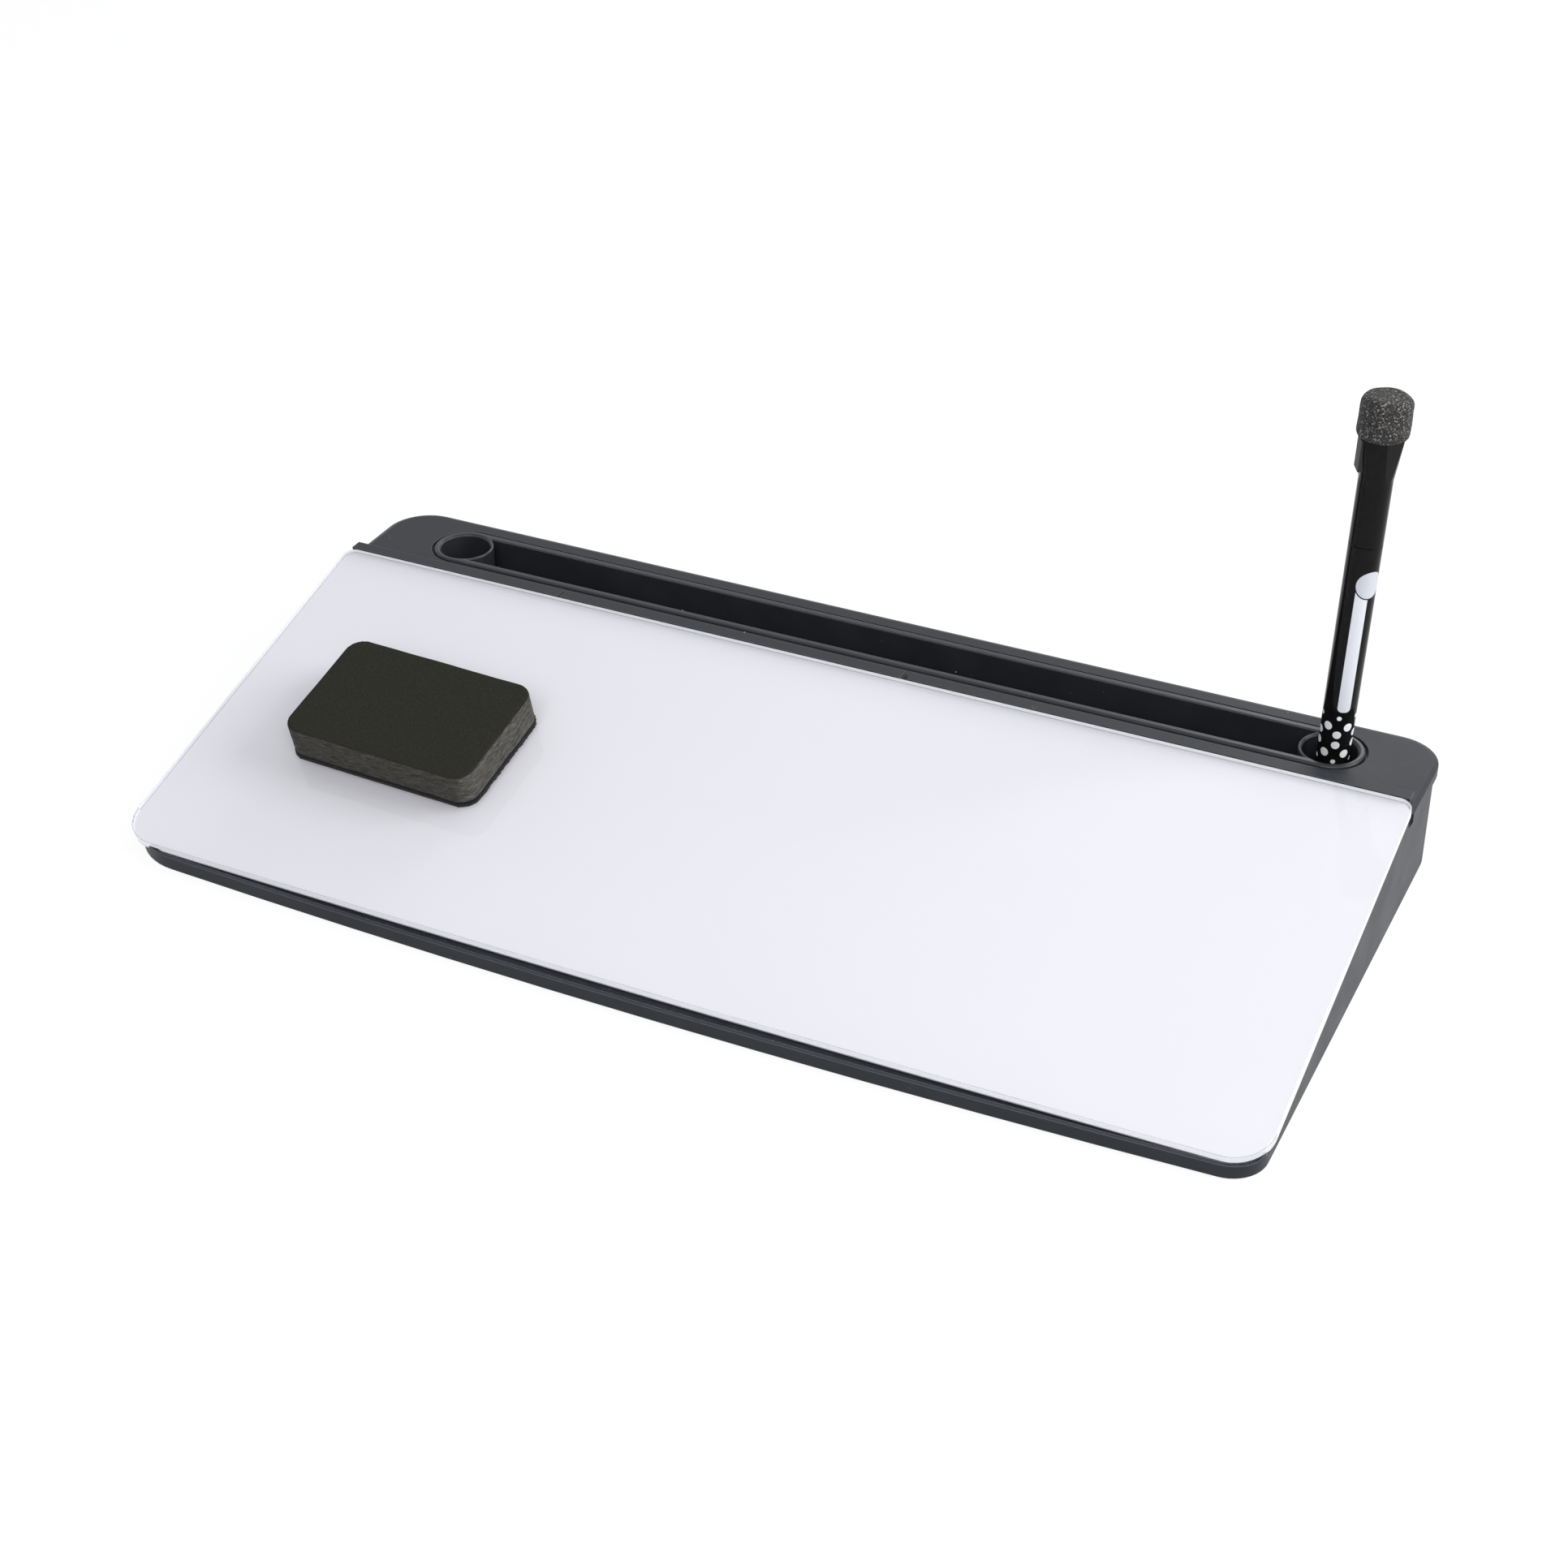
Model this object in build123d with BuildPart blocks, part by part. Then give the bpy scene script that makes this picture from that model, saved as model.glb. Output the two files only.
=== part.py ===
from build123d import *
import math
import os

os.makedirs("parts", exist_ok=True)

# Desktop dry-erase board: a glass plate on a wedge-shaped housing, with a pen tray behind it,
# a foam eraser on the glass and a capped marker in the right-hand cup.
# Origin on the desk, under the middle of the footprint. X to the right, Y to the rear, Z up.
# Lengths in millimetres, angles in degrees.

# Writing surface
board_width = 400.0
board_depth = 153.4
slope = 14.0
glass_front_height = 6.64
glass_thick = 3.0
glass_front_radius = 13.0
glass_front_bow = 1.5
glass_rear_radius = 4.5
glass_arris = 0.35
backing_thick = 0.3
backing_inset = 0.4
tape_thick = 0.5
tape_width = 12.0
tape_inset = 12.0
tape_rows = 3

# Housing
foot_proud = 1.0
wall = 2.2
bed_wall = 2.2
deck_thick = 3.0
side_overhang = 0.8
front_left_radius = 24.0
front_right_radius = 12.0
front_bow = 5.3
rim_height = 5.5
rim_wall = 1.5
rim_drop = 2.2
rim_floor = 1.2
finger_gap = 4.5
glass_gap = 0.4
rear_radius = 14.5
ridge_width = 5.0
ridge_rise = 4.6
ridge_end_inset = 1.8
ridge_edge_radius = 0.6
lip_proud = 1.0
lip_height = 6.5
lip_undercut = 2.5
deck_bevel_width = 1.8
deck_bevel_drop = 0.7

# Marks in the ridge
notch_x = 23.0
notch_width = 2.8
notch_depth = 1.8
seam_x = -111.3
seam_width = 0.6
seam_depth = 1.0

# Underside
cover_thick = 2.0
cover_clear = 0.3
cover_front_radius = 6.0
cover_step = 0.6
rib_thick = 1.6
rib_clear = 0.5
rib_columns = 6
boss_radius = 3.5
boss_columns = 2
boss_rows = 2
boss_side_inset = 21.0
boss_front_inset = 25.0
boss_rear_inset = 8.0
pilot_radius = 1.45
pilot_depth = 5.2
screw_radius = 1.4
screw_length = 6.6
screw_head_radius = 2.8
screw_head_height = 1.1
screw_head_clear = 0.1
screw_hole_radius = 1.7
recess_width = 0.8
recess_span = 3.0
recess_depth = 0.7
foot_radius = 6.0
foot_thick = 1.8
foot_pocket_clear = 0.2
foot_side_inset = 17.0
foot_end_inset = 11.5

# Pen tray
cup_side_inset = 34.7
cup_radius = 9.2
cup_depth = 26.0
cup_wall = 1.3
cup_edge = 0.8
trough_half_width = 8.7
trough_depth = 24.0
trough_wall = 1.6
trough_edge = 0.4
tray_floor = 1.8
tray_front_margin = 7.5
tray_rear_margin = 6.3
flange_half_width = 11.6
flange_thick = 2.0
flange_proud = 0.5
flange_edge_radius = 1.0
pocket_clear = 0.9
opening_clear = 0.3

# Eraser on the glass: its middle from the left edge, and along the slope from the middle of the glass
eraser_side_inset = 75.4
eraser_up_slope = -2.3
eraser_turn = -2.1
eraser_length = 74.0
eraser_width = 47.5
eraser_corner_radius = 6.5
eraser_edge = 0.5
foam_thick = 11.8
felt_thick = 2.2
felt_inset = 0.4
eraser_rest_gap = 0.15

# Marker, measured along its axis from its lower end, which stands a little behind the middle of the cup
marker_foot_rear = 1.4
marker_lean = 1.83
marker_heading = 25.6
marker_rest_gap = 0.3
barrel_radius = 5.5
barrel_bore_radius = 4.3
barrel_end = 102.0
plug_visible = 1.8
plug_stem = 7.0
plug_stem_clear = 0.05
reservoir_radius = 3.9
section_seat = 9.0
section_radius = 4.72
section_tail = 8.0
section_tail_clear = 0.05
nose_radius = 2.9
nose_end = 122.0
nib_radius = 1.5
nib_clear = 0.05
nib_tip = 127.5
nib_point_radius = 0.6
nib_dome = 1.2

# Cap
cap_joint_gap = 0.25
cap_end = 138.9
cap_seat_clear = 0.08
cap_seat_relief = 3.0
cap_bore_radius = 4.2
cap_roof = 5.0
flare_start = 124.6
flare_end_radius = 7.2
cap_flats_count = 6
flare_start_flat = 5.45
flare_end_flat = 6.3
flare_turn = 32.0
seal_wall = 0.7
seal_length = 9.0
seal_clear = 0.05
magnet_length = 10.6
magnet_width = 5.2
magnet_thick = 2.1
magnet_face_radius = 6.85
magnet_start = 127.6
magnet_turn = 182.0
magnet_clear = 0.05
post_radius = 2.4
post_height = 4.0
foam_head_radius = 8.2
foam_head_length = 13.7
foam_head_edge = 2.0
foam_head_clear = 0.1

# A length past the solid that a cut runs through
margin = 1.0

# Places worked out from the sizes above
sin_slope = math.sin(math.radians(slope))
cos_slope = math.cos(math.radians(slope))
tan_slope = math.tan(math.radians(slope))
cup_x = board_width / 2 - cup_side_inset
cup_spacing = 2 * cup_x
tube_radius = cup_radius + cup_wall
opening_half_width = tube_radius + opening_clear
pocket_half_width = flange_half_width + pocket_clear
deck_depth = tray_front_margin + 2 * pocket_half_width + tray_rear_margin
body_depth = rim_wall + finger_gap + board_depth * cos_slope + glass_gap + ridge_width + deck_depth
rim_front_y = -body_depth / 2
deck_rear_y = body_depth / 2
glass_front_y = rim_front_y + rim_wall + finger_gap
glass_mid_y = glass_front_y + board_depth / 2 * cos_slope
glass_mid_z = glass_front_height + board_depth / 2 * sin_slope
glass_rear_y = glass_front_y + board_depth * cos_slope
ridge_top_z = glass_front_height + board_depth * sin_slope
deck_z = ridge_top_z - ridge_rise
ridge_front_y = glass_rear_y + glass_gap
ridge_rear_y = ridge_front_y + ridge_width
side_x = board_width / 2 - side_overhang
lip_x = side_x + lip_proud
wall_rear_y = deck_rear_y - lip_proud
rim_top_z = rim_height
bed_drop = glass_thick + backing_thick + tape_thick
cover_top_z = foot_proud + cover_thick
pocket_depth = flange_thick - flange_proud
tray_y = ridge_rear_y + tray_front_margin + pocket_half_width

glass_plane = Plane(origin=(0, glass_mid_y, glass_mid_z), x_dir=(1, 0, 0), z_dir=(0, -sin_slope, cos_slope))
bed_plane = glass_plane.offset(-bed_drop)


def slope_z(drop, y):
    # Height at y of a plane that lies this far below the face of the glass
    return glass_mid_z + (y - glass_mid_y) * tan_slope - drop / cos_slope


def slope_y(drop, z):
    # The place where that plane reaches height z
    return glass_mid_y + (z - glass_mid_z + drop / cos_slope) / tan_slope


# Outline of the walls: straight sides, a bowed front and rounded corners
with BuildSketch() as wall_outline:
    with BuildLine():
        Polyline(
            (-side_x, rim_front_y + front_bow),
            (-side_x, wall_rear_y),
            (side_x, wall_rear_y),
            (side_x, rim_front_y + front_bow),
        )
        ThreePointArc(
            (side_x, rim_front_y + front_bow),
            (0, rim_front_y),
            (-side_x, rim_front_y + front_bow),
        )
    make_face()
    fillet(wall_outline.vertices().group_by(Axis.Y)[-1], rear_radius)
    fillet(wall_outline.vertices().group_by(Axis.Y)[0].sort_by(Axis.X)[-1], front_right_radius)
    fillet(wall_outline.vertices().group_by(Axis.X)[0].sort_by(Axis.Y)[0], front_left_radius)

# Outline of the glass: a slightly bowed front edge, with larger radii than the rear corners
glass_corner_y = glass_front_bow - board_depth / 2
with BuildSketch() as glass_outline:
    with BuildLine():
        Polyline(
            (-board_width / 2, glass_corner_y),
            (-board_width / 2, board_depth / 2),
            (board_width / 2, board_depth / 2),
            (board_width / 2, glass_corner_y),
        )
        ThreePointArc(
            (board_width / 2, glass_corner_y),
            (0, -board_depth / 2),
            (-board_width / 2, glass_corner_y),
        )
    make_face()
    fillet(glass_outline.vertices().group_by(Axis.Y)[-1], glass_rear_radius)
    fillet(glass_outline.vertices().group_by(Axis.Y)[0], glass_front_radius)

# Ends of the hollow underneath, and the rows of bosses, screws and feet in it
cavity_front_y = slope_y(bed_drop + bed_wall, cover_top_z + cover_step)
cavity_rear_y = wall_rear_y - wall
cavity_x = side_x - wall
cavity_roof_y = slope_y(bed_drop + bed_wall, deck_z - deck_thick)
rib_rear_y = tray_y - pocket_half_width - rib_thick
boss_mid_y = (cavity_front_y + boss_front_inset + rib_rear_y - boss_rear_inset) / 2
boss_pitch_y = rib_rear_y - boss_rear_inset - cavity_front_y - boss_front_inset
boss_pitch_x = (cavity_x - boss_side_inset) * 2 / (boss_columns - 1)
foot_mid_y = (cavity_front_y + cavity_rear_y) / 2
foot_pitch_y = cavity_rear_y - cavity_front_y - 2 * foot_end_inset
foot_pitch_x = 2 * (cavity_x - foot_side_inset)
rib_pitch = 2 * cavity_x / (rib_columns + 1)

# The finger recess: inside the rim, above the floor and the bed
with BuildPart() as finger_recess:
    with BuildSketch(Plane.XY.offset(foot_proud + rim_floor)):
        add(wall_outline.sketch)
        offset(amount=-rim_wall, kind=Kind.ARC)
        with Locations((0, ridge_front_y)):
            Rectangle(board_width, body_depth, align=(Align.CENTER, Align.MIN), mode=Mode.SUBTRACT)
    extrude(amount=ridge_top_z)
    split(bisect_by=bed_plane, keep=Keep.TOP)

# The lip that overhangs the rear walls, with the ridge that backs the glass
with BuildPart() as deck_lip:
    with BuildSketch(Plane.XY.offset(deck_z - lip_height)) as lip_outline:
        with Locations((0, ridge_front_y)):
            Rectangle(2 * lip_x, deck_rear_y - ridge_front_y, align=(Align.CENTER, Align.MIN))
        fillet(lip_outline.vertices().group_by(Axis.Y)[-1], rear_radius + lip_proud)
    extrude(amount=lip_height)
    under_face = deck_lip.faces().sort_by(Axis.Z)[0]
    under_edges = under_face.edges().sort_by(Axis.Y)[1:]
    chamfer(under_edges, length=lip_proud, length2=lip_undercut, reference=under_face)
    deck_face = deck_lip.faces().sort_by(Axis.Z)[-1]
    deck_edges = deck_face.edges().sort_by(Axis.Y)[1:]
    chamfer(deck_edges, length=deck_bevel_width, length2=deck_bevel_drop, reference=deck_face)
    with BuildSketch(Plane.YZ):
        with BuildLine():
            Polyline(
                (ridge_front_y, deck_z - deck_bevel_drop),
                (ridge_front_y, ridge_top_z),
                (ridge_rear_y, ridge_top_z),
                (ridge_rear_y, deck_z - deck_bevel_drop),
                close=True,
            )
        make_face()
    extrude(amount=lip_x - ridge_end_inset, both=True)
    # The ridge's front face stands square to the glass
    with BuildSketch(bed_plane):
        with Locations((0, board_depth / 2 + glass_gap)):
            Rectangle(2 * lip_x + margin, board_depth, align=(Align.CENTER, Align.MAX))
    extrude(amount=ridge_rise, mode=Mode.SUBTRACT)
    fillet(deck_lip.edges().filter_by(Axis.X).group_by(Axis.Z)[-1].sort_by(Axis.Y)[-1], ridge_edge_radius)

# The hollow underneath, less its bosses and ribs
with BuildSketch() as cavity_outline:
    with Locations((0, cavity_front_y)):
        Rectangle(2 * cavity_x, cavity_rear_y - cavity_front_y, align=(Align.CENTER, Align.MIN))
    fillet(cavity_outline.vertices().group_by(Axis.Y)[-1], rear_radius - wall)
    fillet(cavity_outline.vertices().group_by(Axis.Y)[0], cover_front_radius)

with BuildPart() as cavity:
    with BuildSketch(Plane.XY.offset(foot_proud - margin)):
        add(cavity_outline.sketch)
    extrude(amount=ridge_top_z)
    with BuildSketch(Plane.YZ):
        with BuildLine():
            Polyline(
                (cavity_front_y - margin, foot_proud - margin),
                (cavity_front_y - margin, slope_z(bed_drop + bed_wall, cavity_front_y - margin)),
                (cavity_roof_y, deck_z - deck_thick),
                (deck_rear_y, deck_z - deck_thick),
                (deck_rear_y, foot_proud - margin),
                close=True,
            )
        make_face()
    extrude(amount=board_width, both=True, mode=Mode.INTERSECT)
    with BuildSketch(Plane.XY.offset(cover_top_z)):
        with Locations((0, boss_mid_y)):
            with GridLocations(boss_pitch_x, boss_pitch_y, boss_columns, boss_rows):
                Circle(boss_radius)
    extrude(amount=ridge_top_z, mode=Mode.SUBTRACT)
    with BuildSketch(Plane.XY.offset(cover_top_z + rib_clear)):
        with Locations((0, cavity_front_y)):
            with GridLocations(rib_pitch, 0, rib_columns, 1):
                Rectangle(rib_thick, rib_rear_y - cavity_front_y, align=(Align.CENTER, Align.MIN))
        with Locations((0, boss_mid_y), (0, rib_rear_y)):
            Rectangle(board_width, rib_thick, align=(Align.CENTER, Align.MIN))
    extrude(amount=ridge_top_z, mode=Mode.SUBTRACT)

with BuildPart() as housing:
    with BuildSketch(Plane.XY.offset(foot_proud)):
        add(wall_outline.sketch)
    extrude(amount=ridge_top_z)
    # Side profile: level rim top, slope up to the ridge, level deck
    with BuildSketch(Plane.YZ):
        with BuildLine():
            Polyline(
                (rim_front_y - margin, foot_proud),
                (rim_front_y - margin, rim_top_z),
                (slope_y(rim_drop, rim_top_z), rim_top_z),
                (ridge_front_y, slope_z(rim_drop, ridge_front_y)),
                (ridge_front_y, deck_z),
                (deck_rear_y, deck_z),
                (deck_rear_y, foot_proud),
                close=True,
            )
        make_face()
    extrude(amount=board_width, both=True, mode=Mode.INTERSECT)
    add(finger_recess.part, mode=Mode.SUBTRACT)
    # Room for the glass, square at the rear corners
    with BuildSketch(bed_plane):
        add(glass_outline.sketch)
        offset(amount=glass_gap)
        Rectangle(board_width + 2 * glass_gap, board_depth / 2 + glass_gap, align=(Align.CENTER, Align.MIN))
    extrude(amount=board_depth, mode=Mode.SUBTRACT)
    # The bevelled edge of the deck belongs to the lip, so the walls stop below it
    with BuildSketch(Plane.XY.offset(deck_z - deck_bevel_drop - lip_undercut)):
        with Locations((0, ridge_front_y)):
            Rectangle(board_width, body_depth, align=(Align.CENTER, Align.MIN))
    extrude(amount=ridge_top_z, mode=Mode.SUBTRACT)
    add(deck_lip.part)
    add(cavity.part, mode=Mode.SUBTRACT)
    # Stepped opening for the pen tray
    with BuildSketch(Plane.XY.offset(deck_z - pocket_depth)):
        with Locations((0, tray_y)):
            SlotCenterToCenter(cup_spacing, 2 * pocket_half_width)
    extrude(amount=ridge_rise, mode=Mode.SUBTRACT)
    with BuildSketch(Plane.XY.offset(deck_z - deck_thick - margin)):
        with Locations((0, tray_y)):
            SlotCenterToCenter(cup_spacing, 2 * opening_half_width)
    extrude(amount=deck_thick + ridge_rise, mode=Mode.SUBTRACT)
    # Pilot holes for the cover's screws
    with BuildSketch(Plane.XY.offset(cover_top_z)):
        with Locations((0, boss_mid_y)):
            with GridLocations(boss_pitch_x, boss_pitch_y, boss_columns, boss_rows):
                Circle(pilot_radius)
    extrude(amount=pilot_depth, mode=Mode.SUBTRACT)
    # Wedge-shaped notch and narrow seam across the ridge
    with BuildSketch(Plane.XZ.offset(-ridge_front_y)):
        with BuildLine():
            Polyline(
                (notch_x - notch_width / 2, ridge_top_z + margin),
                (notch_x - notch_width / 2, ridge_top_z),
                (notch_x, ridge_top_z - notch_depth),
                (notch_x + notch_width / 2, ridge_top_z),
                (notch_x + notch_width / 2, ridge_top_z + margin),
                close=True,
            )
        make_face()
        with Locations((seam_x, ridge_top_z)):
            Rectangle(seam_width, 2 * seam_depth)
    extrude(amount=-ridge_width, mode=Mode.SUBTRACT)
    housing.part.label = "housing"
export_step(housing.part, "parts/housing.step")

# Flat cover of the underside, with counterbored holes and pockets for the feet
with BuildPart() as bottom_cover:
    with BuildSketch(Plane.XY.offset(foot_proud)):
        add(cavity_outline.sketch)
        offset(amount=-cover_clear)
    extrude(amount=cover_thick)
    with Locations(Plane(origin=(0, boss_mid_y, foot_proud), z_dir=(0, 0, -1))):
        with GridLocations(boss_pitch_x, boss_pitch_y, boss_columns, boss_rows):
            CounterBoreHole(screw_hole_radius, screw_head_radius + screw_head_clear, screw_head_height)
    with BuildSketch(Plane.XY.offset(foot_proud)):
        with Locations((0, foot_mid_y)):
            with GridLocations(foot_pitch_x, foot_pitch_y, 2, 2):
                Circle(foot_radius + foot_pocket_clear)
    extrude(amount=foot_thick - foot_proud, mode=Mode.SUBTRACT)
    bottom_cover.part.label = "bottom_cover"
export_step(bottom_cover.part, "parts/bottom_cover.step")

# Flat-headed screws, sunk level with the underside of the cover
with BuildPart() as base_screw:
    with BuildSketch(Plane.XZ):
        with BuildLine():
            Polyline(
                (0, 0),
                (screw_head_radius, 0),
                (screw_head_radius, screw_head_height),
                (screw_radius, screw_head_height),
                (screw_radius, screw_length),
                (0, screw_length),
                close=True,
            )
        make_face()
    revolve(axis=Axis.Z)
    with BuildSketch(Plane.XY):
        Rectangle(recess_span, recess_width)
        Rectangle(recess_width, recess_span)
    extrude(amount=recess_depth, mode=Mode.SUBTRACT)

with BuildPart() as base_screws:
    with Locations((0, boss_mid_y, foot_proud)):
        with GridLocations(boss_pitch_x, boss_pitch_y, boss_columns, boss_rows):
            add(base_screw.part)
    base_screws.part.label = "base_screws"
export_step(base_screws.part, "parts/base_screws.step")

# Rubber discs in the pockets of the cover
with BuildPart() as rubber_feet:
    with BuildSketch(Plane.XY):
        with Locations((0, foot_mid_y)):
            with GridLocations(foot_pitch_x, foot_pitch_y, 2, 2):
                Circle(foot_radius)
    extrude(amount=foot_thick)
    rubber_feet.part.label = "rubber_feet"
export_step(rubber_feet.part, "parts/rubber_feet.step")

# Glass, its white coat and the tape that bonds it to the bed
with BuildPart() as glass_panel:
    with BuildSketch(glass_plane.offset(-glass_thick)):
        add(glass_outline.sketch)
    extrude(amount=glass_thick)
    panel_faces = glass_panel.faces().sort_by(SortBy.AREA)[-2:]
    chamfer(panel_faces.edges(), glass_arris)
    glass_panel.part.label = "glass_panel"
export_step(glass_panel.part, "parts/glass_panel.step")

with BuildPart() as white_backing:
    with BuildSketch(glass_plane.offset(-glass_thick - backing_thick)):
        add(glass_outline.sketch)
        offset(amount=-backing_inset)
    extrude(amount=backing_thick)
    white_backing.part.label = "white_backing"
export_step(white_backing.part, "parts/white_backing.step")

with BuildPart() as adhesive_strips:
    with BuildSketch(bed_plane):
        tape_span = board_depth - 2 * tape_inset - tape_width
        with GridLocations(0, tape_span / (tape_rows - 1), 1, tape_rows):
            Rectangle(board_width - 2 * tape_inset, tape_width)
    extrude(amount=tape_thick)
    adhesive_strips.part.label = "adhesive_strips"
export_step(adhesive_strips.part, "parts/adhesive_strips.step")

# Pen tray: two round cups and a trough, hung by a flange in the pocket of the deck
flange_top_z = deck_z + flange_proud
tray_bottom_z = deck_z - cup_depth - tray_floor
with BuildPart() as pen_tray:
    with BuildSketch(Plane.XY.offset(deck_z - pocket_depth)):
        with Locations((0, tray_y)):
            SlotCenterToCenter(cup_spacing, 2 * flange_half_width)
    extrude(amount=flange_thick)
    fillet(pen_tray.faces().sort_by(Axis.Z)[-1].edges(), flange_edge_radius)
    with BuildSketch(Plane.XY.offset(tray_bottom_z)):
        with Locations((0, tray_y)):
            Rectangle(cup_spacing, 2 * (trough_half_width + trough_wall))
            with GridLocations(cup_spacing, 0, 2, 1):
                Circle(tube_radius)
    extrude(amount=deck_z - pocket_depth - tray_bottom_z)
    with BuildSketch(Plane.XY.offset(flange_top_z)):
        with Locations((0, tray_y)):
            with GridLocations(cup_spacing, 0, 2, 1):
                Circle(cup_radius)
    extrude(amount=-cup_depth - flange_proud, mode=Mode.SUBTRACT)
    with BuildSketch(Plane.XY.offset(flange_top_z)):
        with Locations((0, tray_y)):
            Rectangle(cup_spacing, 2 * trough_half_width)
            with GridLocations(cup_spacing, 0, 2, 1):
                Circle(tube_radius, mode=Mode.SUBTRACT)
    extrude(amount=-trough_depth - flange_proud, mode=Mode.SUBTRACT)
    mouth_edges = pen_tray.faces().filter_by(Axis.Z).sort_by(Axis.Z)[-1].inner_wires().edges()
    chamfer(mouth_edges.filter_by(lambda edge: not edge.is_closed), trough_edge)
    mouth_edges = pen_tray.faces().filter_by(Axis.Z).sort_by(Axis.Z)[-1].inner_wires().edges()
    chamfer(mouth_edges.filter_by(lambda edge: edge.is_closed), cup_edge)
    pen_tray.part.label = "pen_tray"
export_step(pen_tray.part, "parts/pen_tray.step")

# Eraser: a foam block on a felt pad, lying on the glass
eraser_x = eraser_side_inset - board_width / 2
eraser_origin = glass_plane.from_local_coords((eraser_x, eraser_up_slope, eraser_rest_gap))
eraser_x_dir = Vector(1, 0, 0).rotate(Axis((0, 0, 0), glass_plane.z_dir), eraser_turn)
eraser_plane = Plane(origin=eraser_origin, x_dir=eraser_x_dir, z_dir=glass_plane.z_dir)

with BuildPart() as eraser_felt:
    with BuildSketch(eraser_plane):
        felt_radius = eraser_corner_radius - felt_inset
        RectangleRounded(eraser_length - 2 * felt_inset, eraser_width - 2 * felt_inset, felt_radius)
    extrude(amount=felt_thick)
    eraser_felt.part.label = "eraser_felt"
export_step(eraser_felt.part, "parts/eraser_felt.step")

with BuildPart() as eraser_foam:
    with BuildSketch(eraser_plane.offset(felt_thick)):
        RectangleRounded(eraser_length, eraser_width, eraser_corner_radius)
    extrude(amount=foam_thick)
    foam_top = eraser_foam.faces().sort_by(Axis(eraser_origin, glass_plane.z_dir))[-1]
    chamfer(foam_top.edges(), eraser_edge)
    eraser_foam.part.label = "eraser_foam"
export_step(eraser_foam.part, "parts/eraser_foam.step")

# Marker, standing in the right-hand cup and leaning a little to the right
lean_sin = math.sin(math.radians(marker_lean))
lean_cos = math.cos(math.radians(marker_lean))
heading_x = math.cos(math.radians(marker_heading))
heading_y = math.sin(math.radians(marker_heading))
marker_dir = (lean_sin * heading_x, lean_sin * heading_y, lean_cos)
marker_x_dir = (lean_cos * heading_x, lean_cos * heading_y, -lean_sin)
cup_floor_z = deck_z - cup_depth
marker_foot = (cup_x, tray_y + marker_foot_rear, cup_floor_z + marker_rest_gap + barrel_radius * lean_sin)
marker_plane = Plane(origin=marker_foot, x_dir=marker_x_dir, z_dir=marker_dir)
marker_axis = Axis(marker_foot, marker_dir)
# Half sections are drawn on this plane: radius across, length along the marker
section_plane = Plane(origin=marker_foot, x_dir=marker_x_dir, z_dir=-marker_plane.y_dir)

with BuildPart() as marker_end_plug:
    with BuildSketch(marker_plane):
        Circle(barrel_radius)
    extrude(amount=plug_visible)
    with BuildSketch(marker_plane.offset(plug_visible)):
        Circle(barrel_bore_radius - plug_stem_clear)
    extrude(amount=plug_stem)
    marker_end_plug.part.label = "marker_end_plug"
export_step(marker_end_plug.part, "parts/marker_end_plug.step")

with BuildPart() as marker_barrel:
    with BuildSketch(marker_plane.offset(plug_visible)):
        Circle(barrel_radius)
        Circle(barrel_bore_radius, mode=Mode.SUBTRACT)
    extrude(amount=barrel_end - plug_visible)
    marker_barrel.part.label = "marker_barrel"
export_step(marker_barrel.part, "parts/marker_barrel.step")

reservoir_start = plug_visible + plug_stem
reservoir_end = barrel_end - section_tail
with BuildPart() as ink_reservoir:
    with BuildSketch(marker_plane.offset(reservoir_start)):
        Circle(reservoir_radius)
    extrude(amount=reservoir_end - reservoir_start)
    ink_reservoir.part.label = "ink_reservoir"
export_step(ink_reservoir.part, "parts/ink_reservoir.step")

# Front section: a tail in the barrel, a seat for the cap, then a narrow nose round the nib
with BuildPart() as nib_section:
    with BuildSketch(section_plane):
        with BuildLine():
            Polyline(
                (nib_radius + nib_clear, reservoir_end),
                (barrel_bore_radius - section_tail_clear, reservoir_end),
                (barrel_bore_radius - section_tail_clear, barrel_end),
                (section_radius, barrel_end),
                (section_radius, barrel_end + section_seat),
                (nose_radius, barrel_end + section_seat),
                (nose_radius, nose_end),
                (nib_radius + nib_clear, nose_end),
                close=True,
            )
        make_face()
    revolve(axis=marker_axis)
    nib_section.part.label = "nib_section"
export_step(nib_section.part, "parts/nib_section.step")

with BuildPart() as marker_nib:
    with BuildSketch(section_plane):
        with BuildLine():
            Polyline(
                (0, nib_tip),
                (0, reservoir_end),
                (nib_radius, reservoir_end),
                (nib_radius, nib_tip - nib_dome),
                (nib_point_radius, nib_tip),
                close=True,
            )
        make_face()
    revolve(axis=marker_axis)
    marker_nib.part.label = "marker_nib"
export_step(marker_nib.part, "parts/marker_nib.step")

# Cap: round at the mouth, opening into six flats towards the foam head
cap_start = barrel_end + cap_joint_gap
with BuildPart() as cap_flats:
    with BuildSketch(marker_plane.offset(flare_start)):
        RegularPolygon(flare_start_flat, cap_flats_count, major_radius=False, rotation=flare_turn)
    with BuildSketch(marker_plane.offset(cap_end)):
        RegularPolygon(flare_end_flat, cap_flats_count, major_radius=False, rotation=flare_turn)
    loft(ruled=True)
    with BuildSketch(section_plane):
        with BuildLine():
            Polyline(
                (0, flare_start),
                (barrel_radius, flare_start),
                (flare_end_radius, cap_end),
                (0, cap_end),
                close=True,
            )
        make_face()
    revolve(axis=marker_axis, mode=Mode.INTERSECT)

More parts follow.
